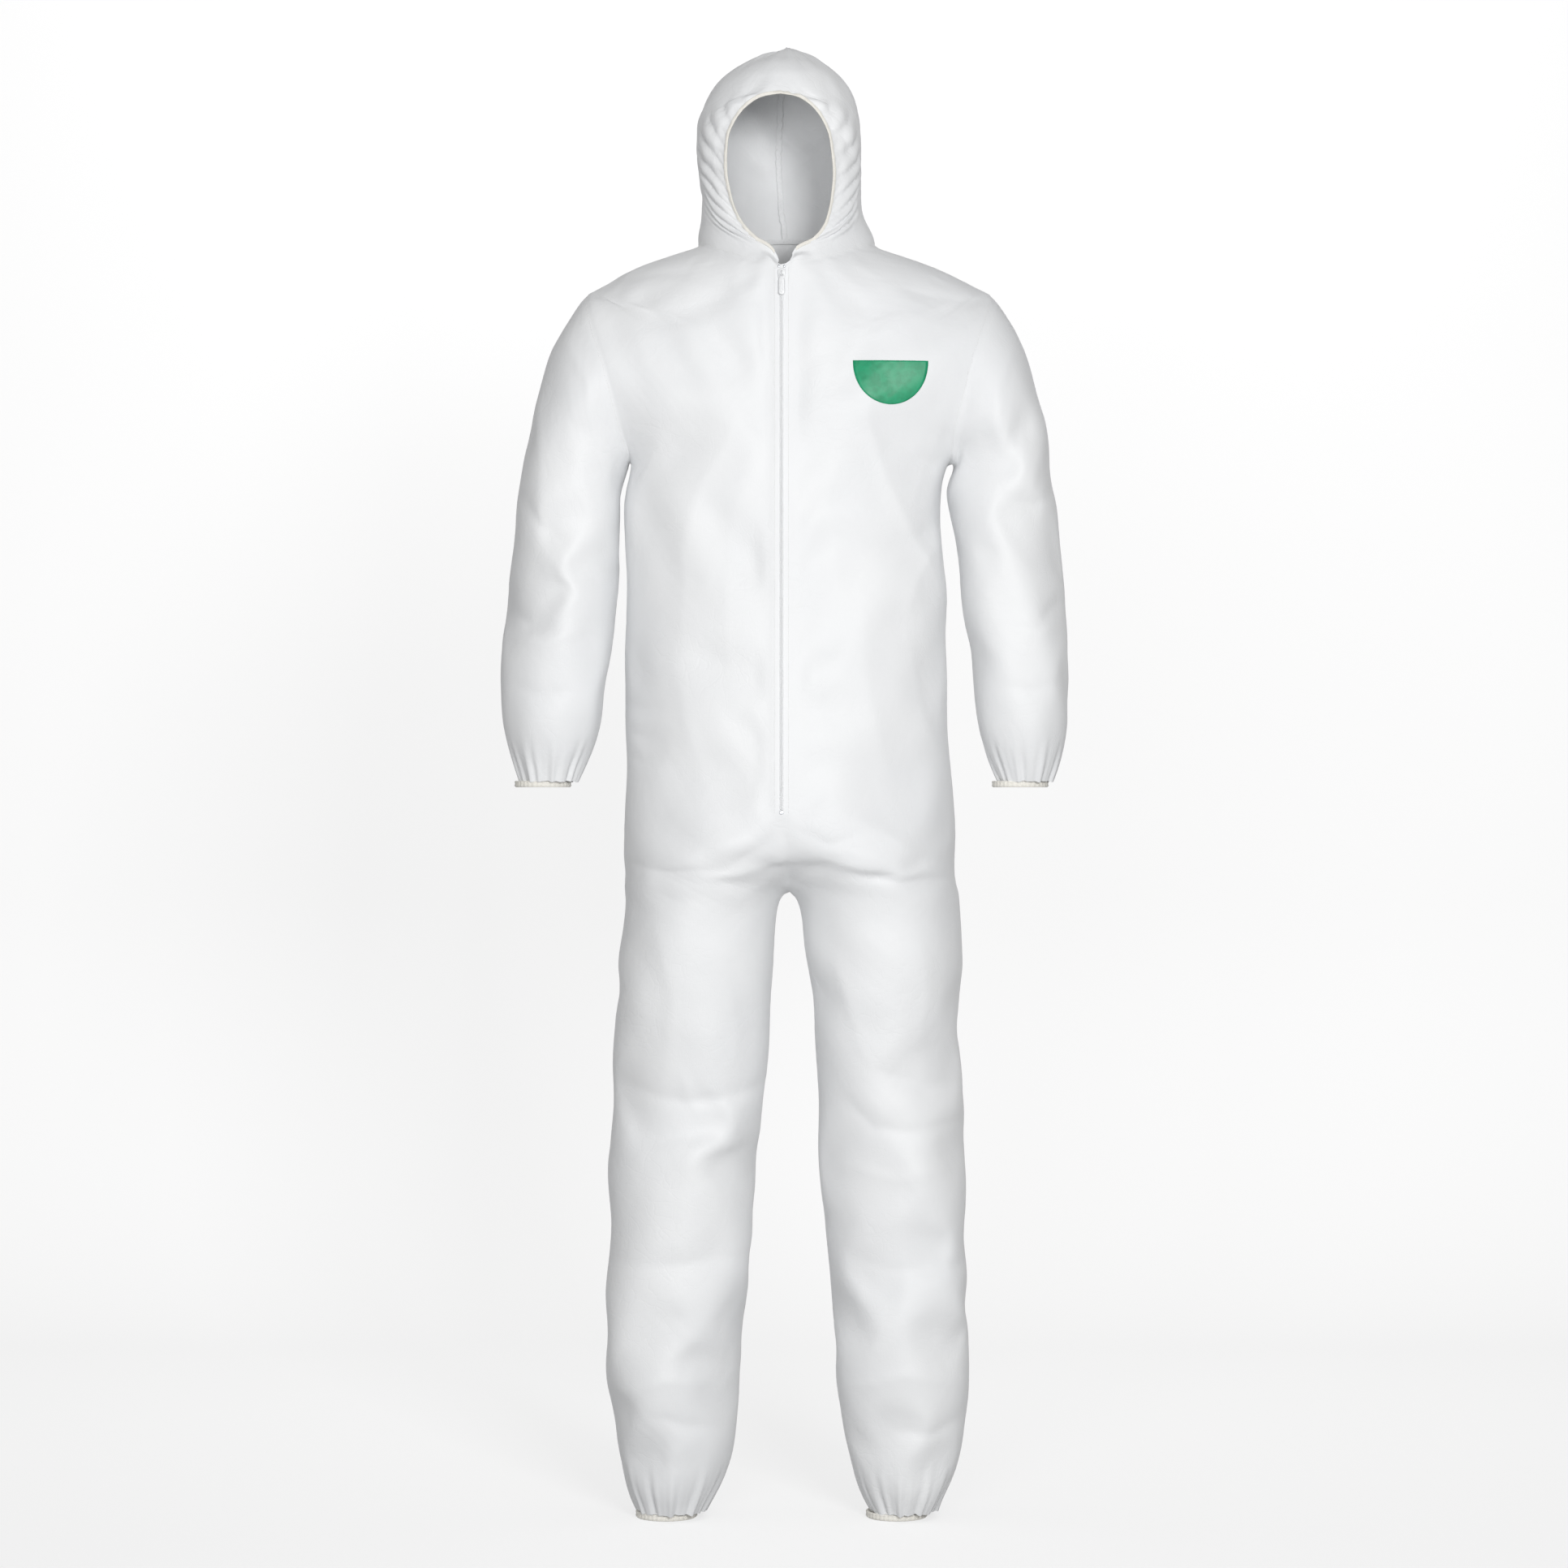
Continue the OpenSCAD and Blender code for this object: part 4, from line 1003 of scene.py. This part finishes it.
def sewAlong(name, line, outward, material, pitch=0.003, length=0.0011, radius=0.00028, lift=0.0002, turn=0.0,
             closed=False):
    line, outward = np.asarray(line, float), np.asarray(outward, float)
    mesh = bpy.data.meshes.new(name)
    count = len(line)
    edges = [(k, k + 1) for k in range(count - 1)] + ([(count - 1, 0)] if closed else [])
    mesh.from_pydata(line.tolist(), edges, [])
    layer = mesh.attributes.new("outward", "FLOAT_VECTOR", "POINT")
    layer.data.foreach_set("vector", outward.astype(np.float32).ravel())
    obj = bpy.data.objects.new(name, mesh)
    bpy.context.collection.objects.link(obj)
    modifier = obj.modifiers.new("repeat", "NODES")
    modifier.node_group = stitchTree
    wanted = {"Pitch": pitch, "Length": length, "Radius": radius, "Lift": lift, "Turn": turn, "Finish": material}
    for item in stitchTree.interface.items_tree:
        if item.in_out == "INPUT" and item.name in wanted:
            modifier[item.identifier] = wanted[item.name]
    shown = obj.evaluated_get(bpy.context.evaluated_depsgraph_get())
    plain = bpy.data.meshes.new_from_object(shown)
    obj.modifiers.clear()
    obj.data = plain
    obj.data.shade_smooth()
    if not plain.materials:
        plain.materials.append(material)
    return obj


# Fine points along one seam of the net, in order, by walking the nearest fine points to a dense coarse line
def onSurface(coarse, spacing=0.003):
    line = settled[coarse] if coarse.dtype.kind == "i" else coarse
    lengths = np.concatenate([[0], np.cumsum(np.linalg.norm(np.diff(line, axis=0), axis=1))])
    at = np.arange(0, lengths[-1], spacing)
    dense = np.stack([np.interp(at, lengths, line[:, k]) for k in range(3)], 1)
    points, normals = [], []
    for p in dense:
        near = surfaceTree.find_nearest(Vector(p))
        points.append(near[0])
        normals.append(near[1])
    points, normals = np.array(points), np.array(normals)
    for _ in range(3):
        normals[1:-1] = (normals[:-2] + normals[1:-1] * 2 + normals[2:]) / 4
    return points, normals / np.linalg.norm(normals, axis=1)[:, None]


surfaceTree = BVHTree.FromPolygons(fine.tolist(), faces.tolist())


def sideways(points, normals, distance):
    step = np.cross(np.gradient(points, axis=0), normals)
    return points + step / np.maximum(np.linalg.norm(step, axis=1), 1e-9)[:, None] * distance


# Seam threads, a row of small stitches beside each seam that shows
threads = {"pitch": 0.0032, "length": 0.00115, "radius": 0.00026, "beside": 0.0024}


def seamThread(name, coarse, distance):
    points, normals = onSurface(coarse)
    points = sideways(points, normals, distance)
    points = np.array([surfaceTree.find_nearest(Vector(p))[0] for p in points])
    obj = sewAlong(name, points, normals, looks["threadWhite"], threads["pitch"], threads["length"],
                   threads["radius"], 0.0001)
    bendLike(obj)
    return obj


for side in sides:
    armhole = panels[side, "sleeve"][0]
    ring = np.append(armhole, armhole[0])
    seamThread(side + "ArmholeThread", ring, threads["beside"])
neckLine = np.concatenate([panels["left", "hood"][0], panels["right", "hood"][0][::-1]])
seamThread("neckThread", neckLine, -threads["beside"])
crown = panels["left", "hood"][:, -1]
seamThread("hoodBackThread", crown, threads["beside"])
print("seam threads done")


band = {"faceWide": 0.0046, "faceThick": 0.0019, "cuffHigh": 0.008, "scallop": 0.0004, "scallopPitch": 0.0031}


# Turns a mesh's faces outwards, and closes its open ends first where that is asked for
def turnOutward(obj, closeEnds=False):
    bm = bmesh.new()
    bm.from_mesh(obj.data)
    if closeEnds:
        bmesh.ops.holes_fill(bm, edges=[e for e in bm.edges if e.is_boundary])
    bmesh.ops.recalc_face_normals(bm, faces=bm.faces)
    bm.to_mesh(obj.data)
    bm.free()


# A rounded flat strip along a line: outward is away from the fabric's face, and sidewise points away from the edge
def strip(name, line, outward, sidewise, wide, thick, closed=False, ring=10, scallop=0.0):
    line = np.asarray(line, float)
    count = len(line)
    run = np.concatenate([[0], np.cumsum(np.linalg.norm(np.diff(line, axis=0), axis=1))])
    swell = 1 + (scallop / thick) * np.abs(np.sin(math.pi * run / band["scallopPitch"]))
    a = 2 * np.pi * np.arange(ring) / ring
    px = np.sign(np.cos(a)) * np.abs(np.cos(a)) ** 0.6 * wide / 2
    py = np.sign(np.sin(a)) * np.abs(np.sin(a)) ** 0.8 * thick / 2
    points = (line[:, None] + sidewise[:, None] * px[None, :, None]
              + outward[:, None] * (py[None, :] * swell[:, None])[..., None]).reshape(-1, 3)
    ids = np.arange(count * ring).reshape(count, ring)
    after = np.roll(ids, -1, 0) if closed else ids[1:]
    here = ids if closed else ids[:-1]
    walls = np.stack([here, after, np.roll(after, -1, 1), np.roll(here, -1, 1)], -1).reshape(-1, 4)
    obj = meshObject(name, points, walls)
    turnOutward(obj, closeEnds=not closed)
    return obj


def faceEdge(side):
    ids = panels[side, "hood"][1:cut["faceRows"] + 2, 0]
    return onSurface(ids, 0.0016)


left, leftNormal = faceEdge("left")
right, rightNormal = faceEdge("right")
keepFrom = int(0.026 / 0.0016)                                     # the binding starts above the open throat
edge = np.concatenate([left[keepFrom:], right[keepFrom:-1][::-1]])
edgeNormal = np.concatenate([leftNormal[keepFrom:], rightNormal[keepFrom:-1][::-1]])
awayFrom = edge - np.array([0, 0, 1.645])
awayFrom[:, 1] = 0
awayFrom -= edgeNormal * (awayFrom * edgeNormal).sum(1)[:, None]
awayFrom /= np.linalg.norm(awayFrom, axis=1)[:, None]
binding = strip("faceElastic", edge + awayFrom * 0.0012 + edgeNormal * 0.0002, edgeNormal, awayFrom, band["faceWide"],
                band["faceThick"], scallop=band["scallop"])
finished(binding, looks["elasticIvory"])
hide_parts("face_elastic")
bendLike(binding)
for name, distance in (("faceStitchOuter", 0.0030), ("faceStitchInner", 0.0)):
    stitch = sewAlong(name, edge + awayFrom * distance + edgeNormal * 0.0009, edgeNormal, looks["threadWhite"],
                      0.0022, 0.0009, 0.00024, 0.00008, 0.5)
    bendLike(stitch)


# Seam allowances that show inside the hood: down the centre back and round the neck
inside = {"wide": 0.007, "thick": 0.0009, "in": 0.0013}
for name, ids in (("hoodSeamInside", crown), ("neckSeamInside", neckLine)):
    points, normals = onSurface(ids)
    sidewise = np.cross(np.gradient(points, axis=0), normals)
    sidewise /= np.maximum(np.linalg.norm(sidewise, axis=1), 1e-9)[:, None]
    allowance = strip(name, points - normals * inside["in"], -normals, sidewise, inside["wide"], inside["thick"])
    finished(allowance, looks["seamWhite"])
    bendLike(allowance)


# Ruffled cuff bands at the wrists and ankles
def cuffBand(name, nodeName, body, gathers, bulge):
    low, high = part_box(nodeName)
    middle = (low + high) / 2
    radius = (high.x - low.x) / 2

    def circle(a, r, up):
        return np.stack([middle.x + r * np.cos(a), middle.y + r * np.sin(a), np.full(len(a), low.z + up)], 1)

    def ruffle(a):
        return (0.5 + 0.5 * np.cos(gathers * a + 0.6 * np.sin(3 * a))) * bulge

    rows = [(0, 0), (0.0004, 0.3), (0.0014, 1), (0.0032, 0.75), (0.0052, 0.75), (0.007, 1), (0.0078, 0.2)]
    turns = 144
    a = 2 * np.pi * np.arange(turns) / turns
    points = [circle(a, radius - 0.0009 + 0.0009 * puff + ruffle(a) * (0.4 + 0.6 * puff), up) for up, puff in rows]
    points += [circle(a, radius - 0.0024, up) for up, _ in rows[::-1]]
    points = np.array(points)
    ids = np.arange(points.shape[0] * turns).reshape(-1, turns)
    after = np.roll(ids, -1, 0)
    walls = np.stack([ids, np.roll(ids, -1, 1), np.roll(after, -1, 1), after], -1).reshape(-1, 4)
    obj = meshObject(name, points.reshape(-1, 3), walls)
    turnOutward(obj)
    finished(obj, looks["elasticIvory"])
    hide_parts(nodeName)
    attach(obj, body)
    lap = np.append(a, a[0])
    outward = np.stack([np.cos(lap), np.sin(lap), 0 * lap], 1)
    for level in (0.0022, 0.0062):
        line = circle(lap, radius + 0.0003 + ruffle(lap) * 0.95, level)
        stitch = sewAlong(f"{name}Stitch{int(level * 1e4)}", line, outward, looks["threadWhite"],
                          0.0026, 0.001, 0.00025, 0.0, 0.45)
        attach(stitch, body)


for side in sides:
    cuffBand(side + "WristElastic", side + "_wrist_elastic", side + "_forearm", 34, 0.0009)
    cuffBand(side + "AnkleElastic", side + "_ankle_elastic", side + "_lower_leg", 38, 0.001)
print("elastics done")


# Waist elastic, sewn inside the small of the back
low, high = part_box("waist_elastic")
turn = np.radians(np.linspace(20, 160, 90))
waist = {"wide": 0.024, "thick": 0.0016, "out": 0.199, "deep": 0.12}
line = np.stack([(waist["out"] - 0.0068) * np.cos(turn), (waist["deep"] - 0.0068) * np.sin(turn),
                 np.full(len(turn), (low.z + high.z) / 2)], 1)
outward = np.stack([np.cos(turn), np.sin(turn), 0 * turn], 1)
upward = np.tile([0.0, 0.0, 1.0], (len(turn), 1))
waistBand = strip("waistElastic", line, outward, upward, waist["wide"], waist["thick"], ring=14)
finished(waistBand, looks["elasticIvory"])
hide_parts("waist_elastic")
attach(waistBand, "torso")


zipDown = np.array([0, -cut["frontLean"], -1.0])
zipDown /= np.linalg.norm(zipDown)
zipOut = np.array([0, zipDown[2], -zipDown[1]])
zipLine = {"top": 1.530, "bottom": 0.866, "coilOut": 0.0022, "coilHalf": 0.00105, "stagger": 0.0009,
           "toothPitch": 0.0018, "toothLong": 0.0016, "toothRadius": 0.00058, "tapeWide": 0.013, "tapeThick": 0.0006,
           "tapeIn": 0.0015, "tapeGap": 0.0028, "stitchOut": 0.0085}


def onZip(height, outward=0.0, x=0.0):
    return np.array([x, -zipDepth(height), height]) + zipOut * outward


def alike(vector, line):
    return np.tile(vector, (len(line), 1))


def joinAs(name, objs):
    for obj in bpy.context.selected_objects:
        obj.select_set(False)
    for obj in objs:
        obj.select_set(True)
    bpy.context.view_layer.objects.active = objs[0]
    bpy.ops.object.join()
    objs[0].name = objs[0].data.name = name
    return objs[0]


def coilTeeth(name, x, later):
    line = np.array([onZip(h + later, zipLine["coilOut"], x) for h in heights])
    return sewAlong(name, line, alike(zipOut, line), looks["coilWhite"], zipLine["toothPitch"],
                    zipLine["toothRadius"], zipLine["toothLong"], 0.0, 0.0)


heights = np.arange(zipLine["bottom"] + 0.006, zipLine["top"] - 0.004, 0.004)
teeth = [coilTeeth("coilA", -zipLine["coilHalf"], 0), coilTeeth("coilB", zipLine["coilHalf"], zipLine["stagger"])]
line = np.array([onZip(h, zipLine["coilOut"] - 0.0006) for h in heights])
core = strip("coilCore", line, alike(zipOut, line), alike([1.0, 0, 0], line), 0.0034, 0.0009, ring=8)
core.data.materials.append(looks["coilWhite"])
coil = joinAs("zipCoil", [core, *teeth])
finished(coil, looks["coilWhite"])
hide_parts("zip_coil")
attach(coil, "torso")

for side in sides:
    s = across[side]
    spread = smooth(heights, 1.522, 1.532) * 0.002
    line = np.array([onZip(h, -zipLine["tapeIn"], s * (zipLine["tapeGap"] + zipLine["tapeWide"] / 2 + d))
                     for h, d in zip(heights, spread)])
    tape = strip(side + "ZipTape", line, alike(zipOut, line), alike([1.0, 0, 0], line), zipLine["tapeWide"],
                 zipLine["tapeThick"], ring=10)
    finished(tape, looks["zipTapeWhite"])
    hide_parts(side + "_zip_tape")
    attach(tape, "torso")
    along = np.arange(zipLine["bottom"] + 0.004, zipLine["top"] - 0.002, 0.002)
    run = np.array([onZip(h, 0, s * zipLine["stitchOut"]) for h in along])
    seat = np.array([surfaceTree.ray_cast(Vector(p + zipOut * 0.03), Vector(-zipOut))[0] or Vector(p) for p in run])
    top = sewAlong(side + "ZipStitch", seat, alike(zipOut, seat), looks["threadWhite"], 0.003, 0.0011, 0.00028,
                   0.00025)
    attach(top, "torso")
print("zip done")


# A plate with a flat outline, lying on the leaning zip line
def outlinePlate(name, outline, thick, place, bevel=0.0003):
    bm = bmesh.new()
    plate = bm.faces.new([bm.verts.new((x, 0, z)) for x, z in outline])
    made = bmesh.ops.extrude_face_region(bm, geom=[plate])
    bmesh.ops.translate(bm, vec=(0, thick, 0), verts=[v for v in made["geom"] if isinstance(v, bmesh.types.BMVert)])
    bmesh.ops.recalc_face_normals(bm, faces=bm.faces)
    mesh = bpy.data.meshes.new(name)
    bm.to_mesh(mesh)
    bm.free()
    obj = bpy.data.objects.new(name, mesh)
    bpy.context.collection.objects.link(obj)
    rounding = obj.modifiers.new("rounding", "BEVEL")
    rounding.width, rounding.segments, rounding.limit_method = bevel, 3, "ANGLE"
    plain = bpy.data.meshes.new_from_object(obj.evaluated_get(bpy.context.evaluated_depsgraph_get()))
    obj.modifiers.clear()
    obj.data = plain
    co = np.array([v.co for v in plain.vertices]).reshape(-1, 3)
    co = np.outer(co[:, 0], [1, 0, 0]) + np.outer(-co[:, 1], zipOut) + np.outer(co[:, 2], -zipDown) + place
    plain.vertices.foreach_set("co", co.astype(np.float32).ravel())
    plain.update()
    return obj


def tube(name, line, radius, ring=10):
    line = np.asarray(line, float)
    tangent = np.gradient(line, axis=0)
    tangent /= np.linalg.norm(tangent, axis=1)[:, None]
    sidewise = np.tile([1.0, 0, 0], (len(line), 1))
    sidewise -= tangent * (sidewise * tangent).sum(1)[:, None]
    sidewise[np.linalg.norm(sidewise, axis=1) < 1e-3] = [0, 1, 0]
    sidewise /= np.linalg.norm(sidewise, axis=1)[:, None]
    return strip(name, line, np.cross(tangent, sidewise), sidewise, radius * 2, radius * 2, ring=ring)


# Slider and pull tab, in their own upright frame on the zip line
slider = {"high": 0.013, "topWide": 0.0088, "lowWide": 0.0062, "plate": 0.0011, "gap": 0.0011, "stand": 0.00345}
pull = {"long": 0.026, "wide": 0.0066, "thick": 0.0013, "stand": 0.00665, "pinHigh": 1.51895}
low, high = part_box("zip_slider")
sliderMiddle = (low.z + high.z) / 2
outerFace = slider["stand"] + slider["plate"]


def shieldOutline(tall, topWide, lowWide, steps=8):
    edge = []
    for k in range(steps + 1):
        t = k / steps
        w = topWide / 2 * (1 - t) + lowWide / 2 * t + 0.0004 * math.sin(math.pi * t)
        if t < 0.12:
            w *= 0.72 + 0.28 * math.sin(math.pi / 2 * t / 0.12)
        if t > 0.88:
            w *= 0.7 + 0.3 * math.sin(math.pi / 2 * (1 - t) / 0.12)
        edge.append((w, tall / 2 - tall * t))
    return edge + [(-x, z) for x, z in edge[::-1]]


face = outlinePlate("sliderFront", shieldOutline(slider["high"], slider["topWide"], slider["lowWide"]),
                    slider["plate"], onZip(sliderMiddle, outerFace))
wings = []
for s in (-1, 1):
    wing = [(s * 0.0044, 0.0052), (s * 0.0037, 0.0056), (s * 0.0029, -0.0054), (s * 0.0036, -0.0056)]
    wings.append(outlinePlate("sliderWing", wing if s > 0 else wing[::-1], slider["gap"],
                              onZip(sliderMiddle, slider["stand"] + 0.0002), 0.0002))
rib = outlinePlate("sliderRib", shieldOutline(0.0085, 0.0044, 0.0036), 0.0006,
                   onZip(sliderMiddle, outerFace + 0.0004), 0.00025)
arch = [onZip(sliderMiddle + 0.0038 - 0.0076 * t, outerFace + 0.0003 + 0.0026 * math.sin(math.pi * t) ** 0.6)
        for t in np.linspace(0, 1, 15)]
zipSlider = joinAs("zipSlider", [face, *wings, rib, tube("sliderLoop", arch, 0.0007)])
zipSlider.data.materials.clear()
finished(zipSlider, looks["sliderWhite"])
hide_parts("zip_slider")
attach(zipSlider, "slider")

pin = onZip(pull["pinHigh"], pull["stand"])


def tabPoint(x, drop, outward=0.0):
    return pin + np.array([x, 0, 0]) + zipDown * drop + zipOut * outward


turns = np.linspace(0, 2 * math.pi, 29)
eye = tube("tabEye", [tabPoint(0.0021 * math.sin(t), 0.0022 - 0.0022 * math.cos(t)) for t in turns], 0.00062)
leaf = []
for t in np.arange(29) / 28:
    taper = 0.55 + 0.45 * smooth(t, 0.0, 0.22)
    tip = math.sqrt(max(0.0, 1 - max(0.0, (t - 0.86) / 0.145) ** 2))
    leaf.append((pull["wide"] / 2 * taper * tip, -0.0036 - (pull["long"] - 0.0038) * t))
leafPlate = outlinePlate("tabLeaf", leaf + [(-x, z) for x, z in leaf[::-1]], pull["thick"],
                         pin + zipOut * pull["thick"] / 2, 0.0004)
rimLine = [tabPoint(0.0019 * math.cos(t), 0.0168 + 0.0062 * math.sin(t), pull["thick"] / 2)
           for t in np.linspace(0, 2 * math.pi, 33)]
tab = joinAs("pullTab", [leafPlate, eye, tube("tabRidge", rimLine, 0.0003, 8)])
tab.data.materials.clear()
finished(tab, looks["sliderWhite"])
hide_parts("pull_tab")
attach(tab, "tab")


# Stops: two crimped bits at the top, a folded one at the bottom
def crimp(name, x, height, wide, tall):
    def squared(v):
        return v * abs(v) ** -0.35 if abs(v) > 0.01 else v

    outline = [(wide / 2 * squared(math.cos(t)), tall / 2 * squared(math.sin(t)))
               for t in np.linspace(0, 2 * math.pi, 32, endpoint=False)]
    return outlinePlate(name, outline[::-1], 0.0026, onZip(height, 0.0038, x), 0.0003)


topStops = joinAs("zipTopStops", [crimp("stopA", -0.0034, 1.5282, 0.0022, 0.0031),
                                  crimp("stopB", 0.0034, 1.5282, 0.0022, 0.0031)])
finished(topStops, looks["stopMetal"])
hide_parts("zip_top_stops")
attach(topStops, "torso")
bottomStop = crimp("zipBottomStop", 0.0, 0.8697, 0.0046, 0.004)
finished(bottomStop, looks["stopMetal"])
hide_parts("zip_bottom_stop")
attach(bottomStop, "torso")


# Chest patch: a plain half-round, laid on the fabric
patch = {"x": 0.1315, "top": 1.4148, "half": 0.0455, "long": 0.053, "thick": 0.0006, "rings": 14, "turns": 72}


def patchShell(name, material):
    angles = np.linspace(0, math.pi, patch["turns"] + 1)
    arc = np.stack([np.cos(angles), -np.sin(angles) ** 0.92], 1)
    flatTop = np.stack([np.linspace(-1, 1, patch["turns"] // 2 + 1)[1:-1], np.zeros(patch["turns"] // 2 - 1)], 1)
    outline = np.concatenate([arc, flatTop])
    centre = np.array([0, -0.42])
    grid = np.array([centre + (outline - centre) * t for t in np.linspace(0, 1, patch["rings"])])
    flatPoints = grid.reshape(-1, 2) * [patch["half"], patch["long"]] + [patch["x"], patch["top"]]
    hits = [surfaceTree.ray_cast(Vector((x, -0.4, z)), Vector((0, 1, 0))) for x, z in flatPoints]
    tops, normals = (np.array([hit[k] for hit in hits]) for k in (0, 1))
    ids = np.arange(len(tops)).reshape(grid.shape[:2])
    here, there = ids[:-1], ids[1:]
    rings = np.stack([here, np.roll(here, -1, 1), np.roll(there, -1, 1), there], -1).reshape(-1, 4)
    facing = normals.mean(0) / np.linalg.norm(normals.mean(0))
    obj = meshObject(name, tops + facing * patch["thick"], rings)
    bm = bmesh.new()
    bm.from_mesh(obj.data)
    bmesh.ops.remove_doubles(bm, verts=bm.verts, dist=1e-6)
    bmesh.ops.recalc_face_normals(bm, faces=bm.faces)
    if sum(f.normal.y * f.calc_area() for f in bm.faces) > 0:
        bmesh.ops.reverse_faces(bm, faces=bm.faces)
    bm.to_mesh(obj.data)
    bm.free()
    wall = obj.modifiers.new("wall", "SOLIDIFY")
    wall.thickness, wall.offset = patch["thick"], -1
    plain = bpy.data.meshes.new_from_object(obj.evaluated_get(bpy.context.evaluated_depsgraph_get()))
    obj.modifiers.clear()
    obj.data = plain
    return finished(obj, looks[material])


green = patchShell("chestPatch", "patchGreen")
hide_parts("chest_patch")
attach(green, "torso")
print("patch done")


# Stage, light and camera
stageSet = {"floor": (0.38, 0.38, 0.38, 1), "behind": 2.2, "wide": 14.0, "ahead": 7.0, "tall": 8.0, "curve": 0.7,
            "glow": 0.66}


def backdrop():
    profile = [(-stageSet["ahead"], 0.0), (stageSet["behind"] - stageSet["curve"], 0.0)]
    for t in np.linspace(0, math.pi / 2, 17)[1:]:
        profile.append((stageSet["behind"] - stageSet["curve"] + stageSet["curve"] * math.sin(t),
                        stageSet["curve"] * (1 - math.cos(t))))
    profile.append((stageSet["behind"], stageSet["tall"]))
    points = np.array([(x, y, z) for y, z in profile for x in (-stageSet["wide"] / 2, stageSet["wide"] / 2)])
    points[:, 2] -= 0.0004
    ids = np.arange(len(points)).reshape(-1, 2)
    panes = np.stack([ids[:-1, 0], ids[:-1, 1], ids[1:, 1], ids[1:, 0]], 1)
    obj = meshObject("backdrop", points, panes)
    obj.data.shade_smooth()
    material, _, _, shader = finish("paleBackdrop")
    shader.inputs["Base Color"].default_value = stageSet["floor"]
    shader.inputs["Roughness"].default_value = 0.9
    shader.inputs["Specular IOR Level"].default_value = 0.1
    shader.inputs["Emission Color"].default_value = (1, 1, 1, 1)
    shader.inputs["Emission Strength"].default_value = stageSet["glow"]
    obj.data.materials.append(material)
    obj.visible_diffuse = False


backdrop()
lights = {
    "key": ((1.2, -4.9, 1.9), (0, 0, 1.0), 1.2, 124.0),
    "fill": ((-0.9, -5.0, 1.2), (0, 0, 0.7), 1.6, 70.0),
    "wall": ((0, 0.9, 2.5), (0, 2.2, 1.75), 3.0, 20.0),
}
for name, (place, aim, size, power) in lights.items():
    data = bpy.data.lights.new(name, "AREA")
    data.energy, data.size = power, size
    lamp = bpy.data.objects.new(name, data)
    lamp.location = place
    lamp.rotation_euler = (Vector(aim) - Vector(place)).to_track_quat("-Z", "Y").to_euler()
    bpy.context.collection.objects.link(lamp)
world = bpy.data.worlds.new("studio")
world.use_nodes = True
world.node_tree.nodes["Background"].inputs["Color"].default_value = (1, 1, 1, 1)
world.node_tree.nodes["Background"].inputs["Strength"].default_value = 0.28
scene = bpy.context.scene
scene.world = world
scene.view_settings.view_transform = "Standard"

view = {"x": 0.003, "z": 0.904, "away": 5.0, "frame": 1.932}
camera = bpy.data.objects.new("camera", bpy.data.cameras.new("camera"))
camera.data.sensor_width = 36
camera.data.lens = 36 * view["away"] / view["frame"]
camera.location = (view["x"], -view["away"], view["z"])
camera.rotation_euler = (math.pi / 2, 0, 0)
bpy.context.collection.objects.link(camera)
scene.camera = camera
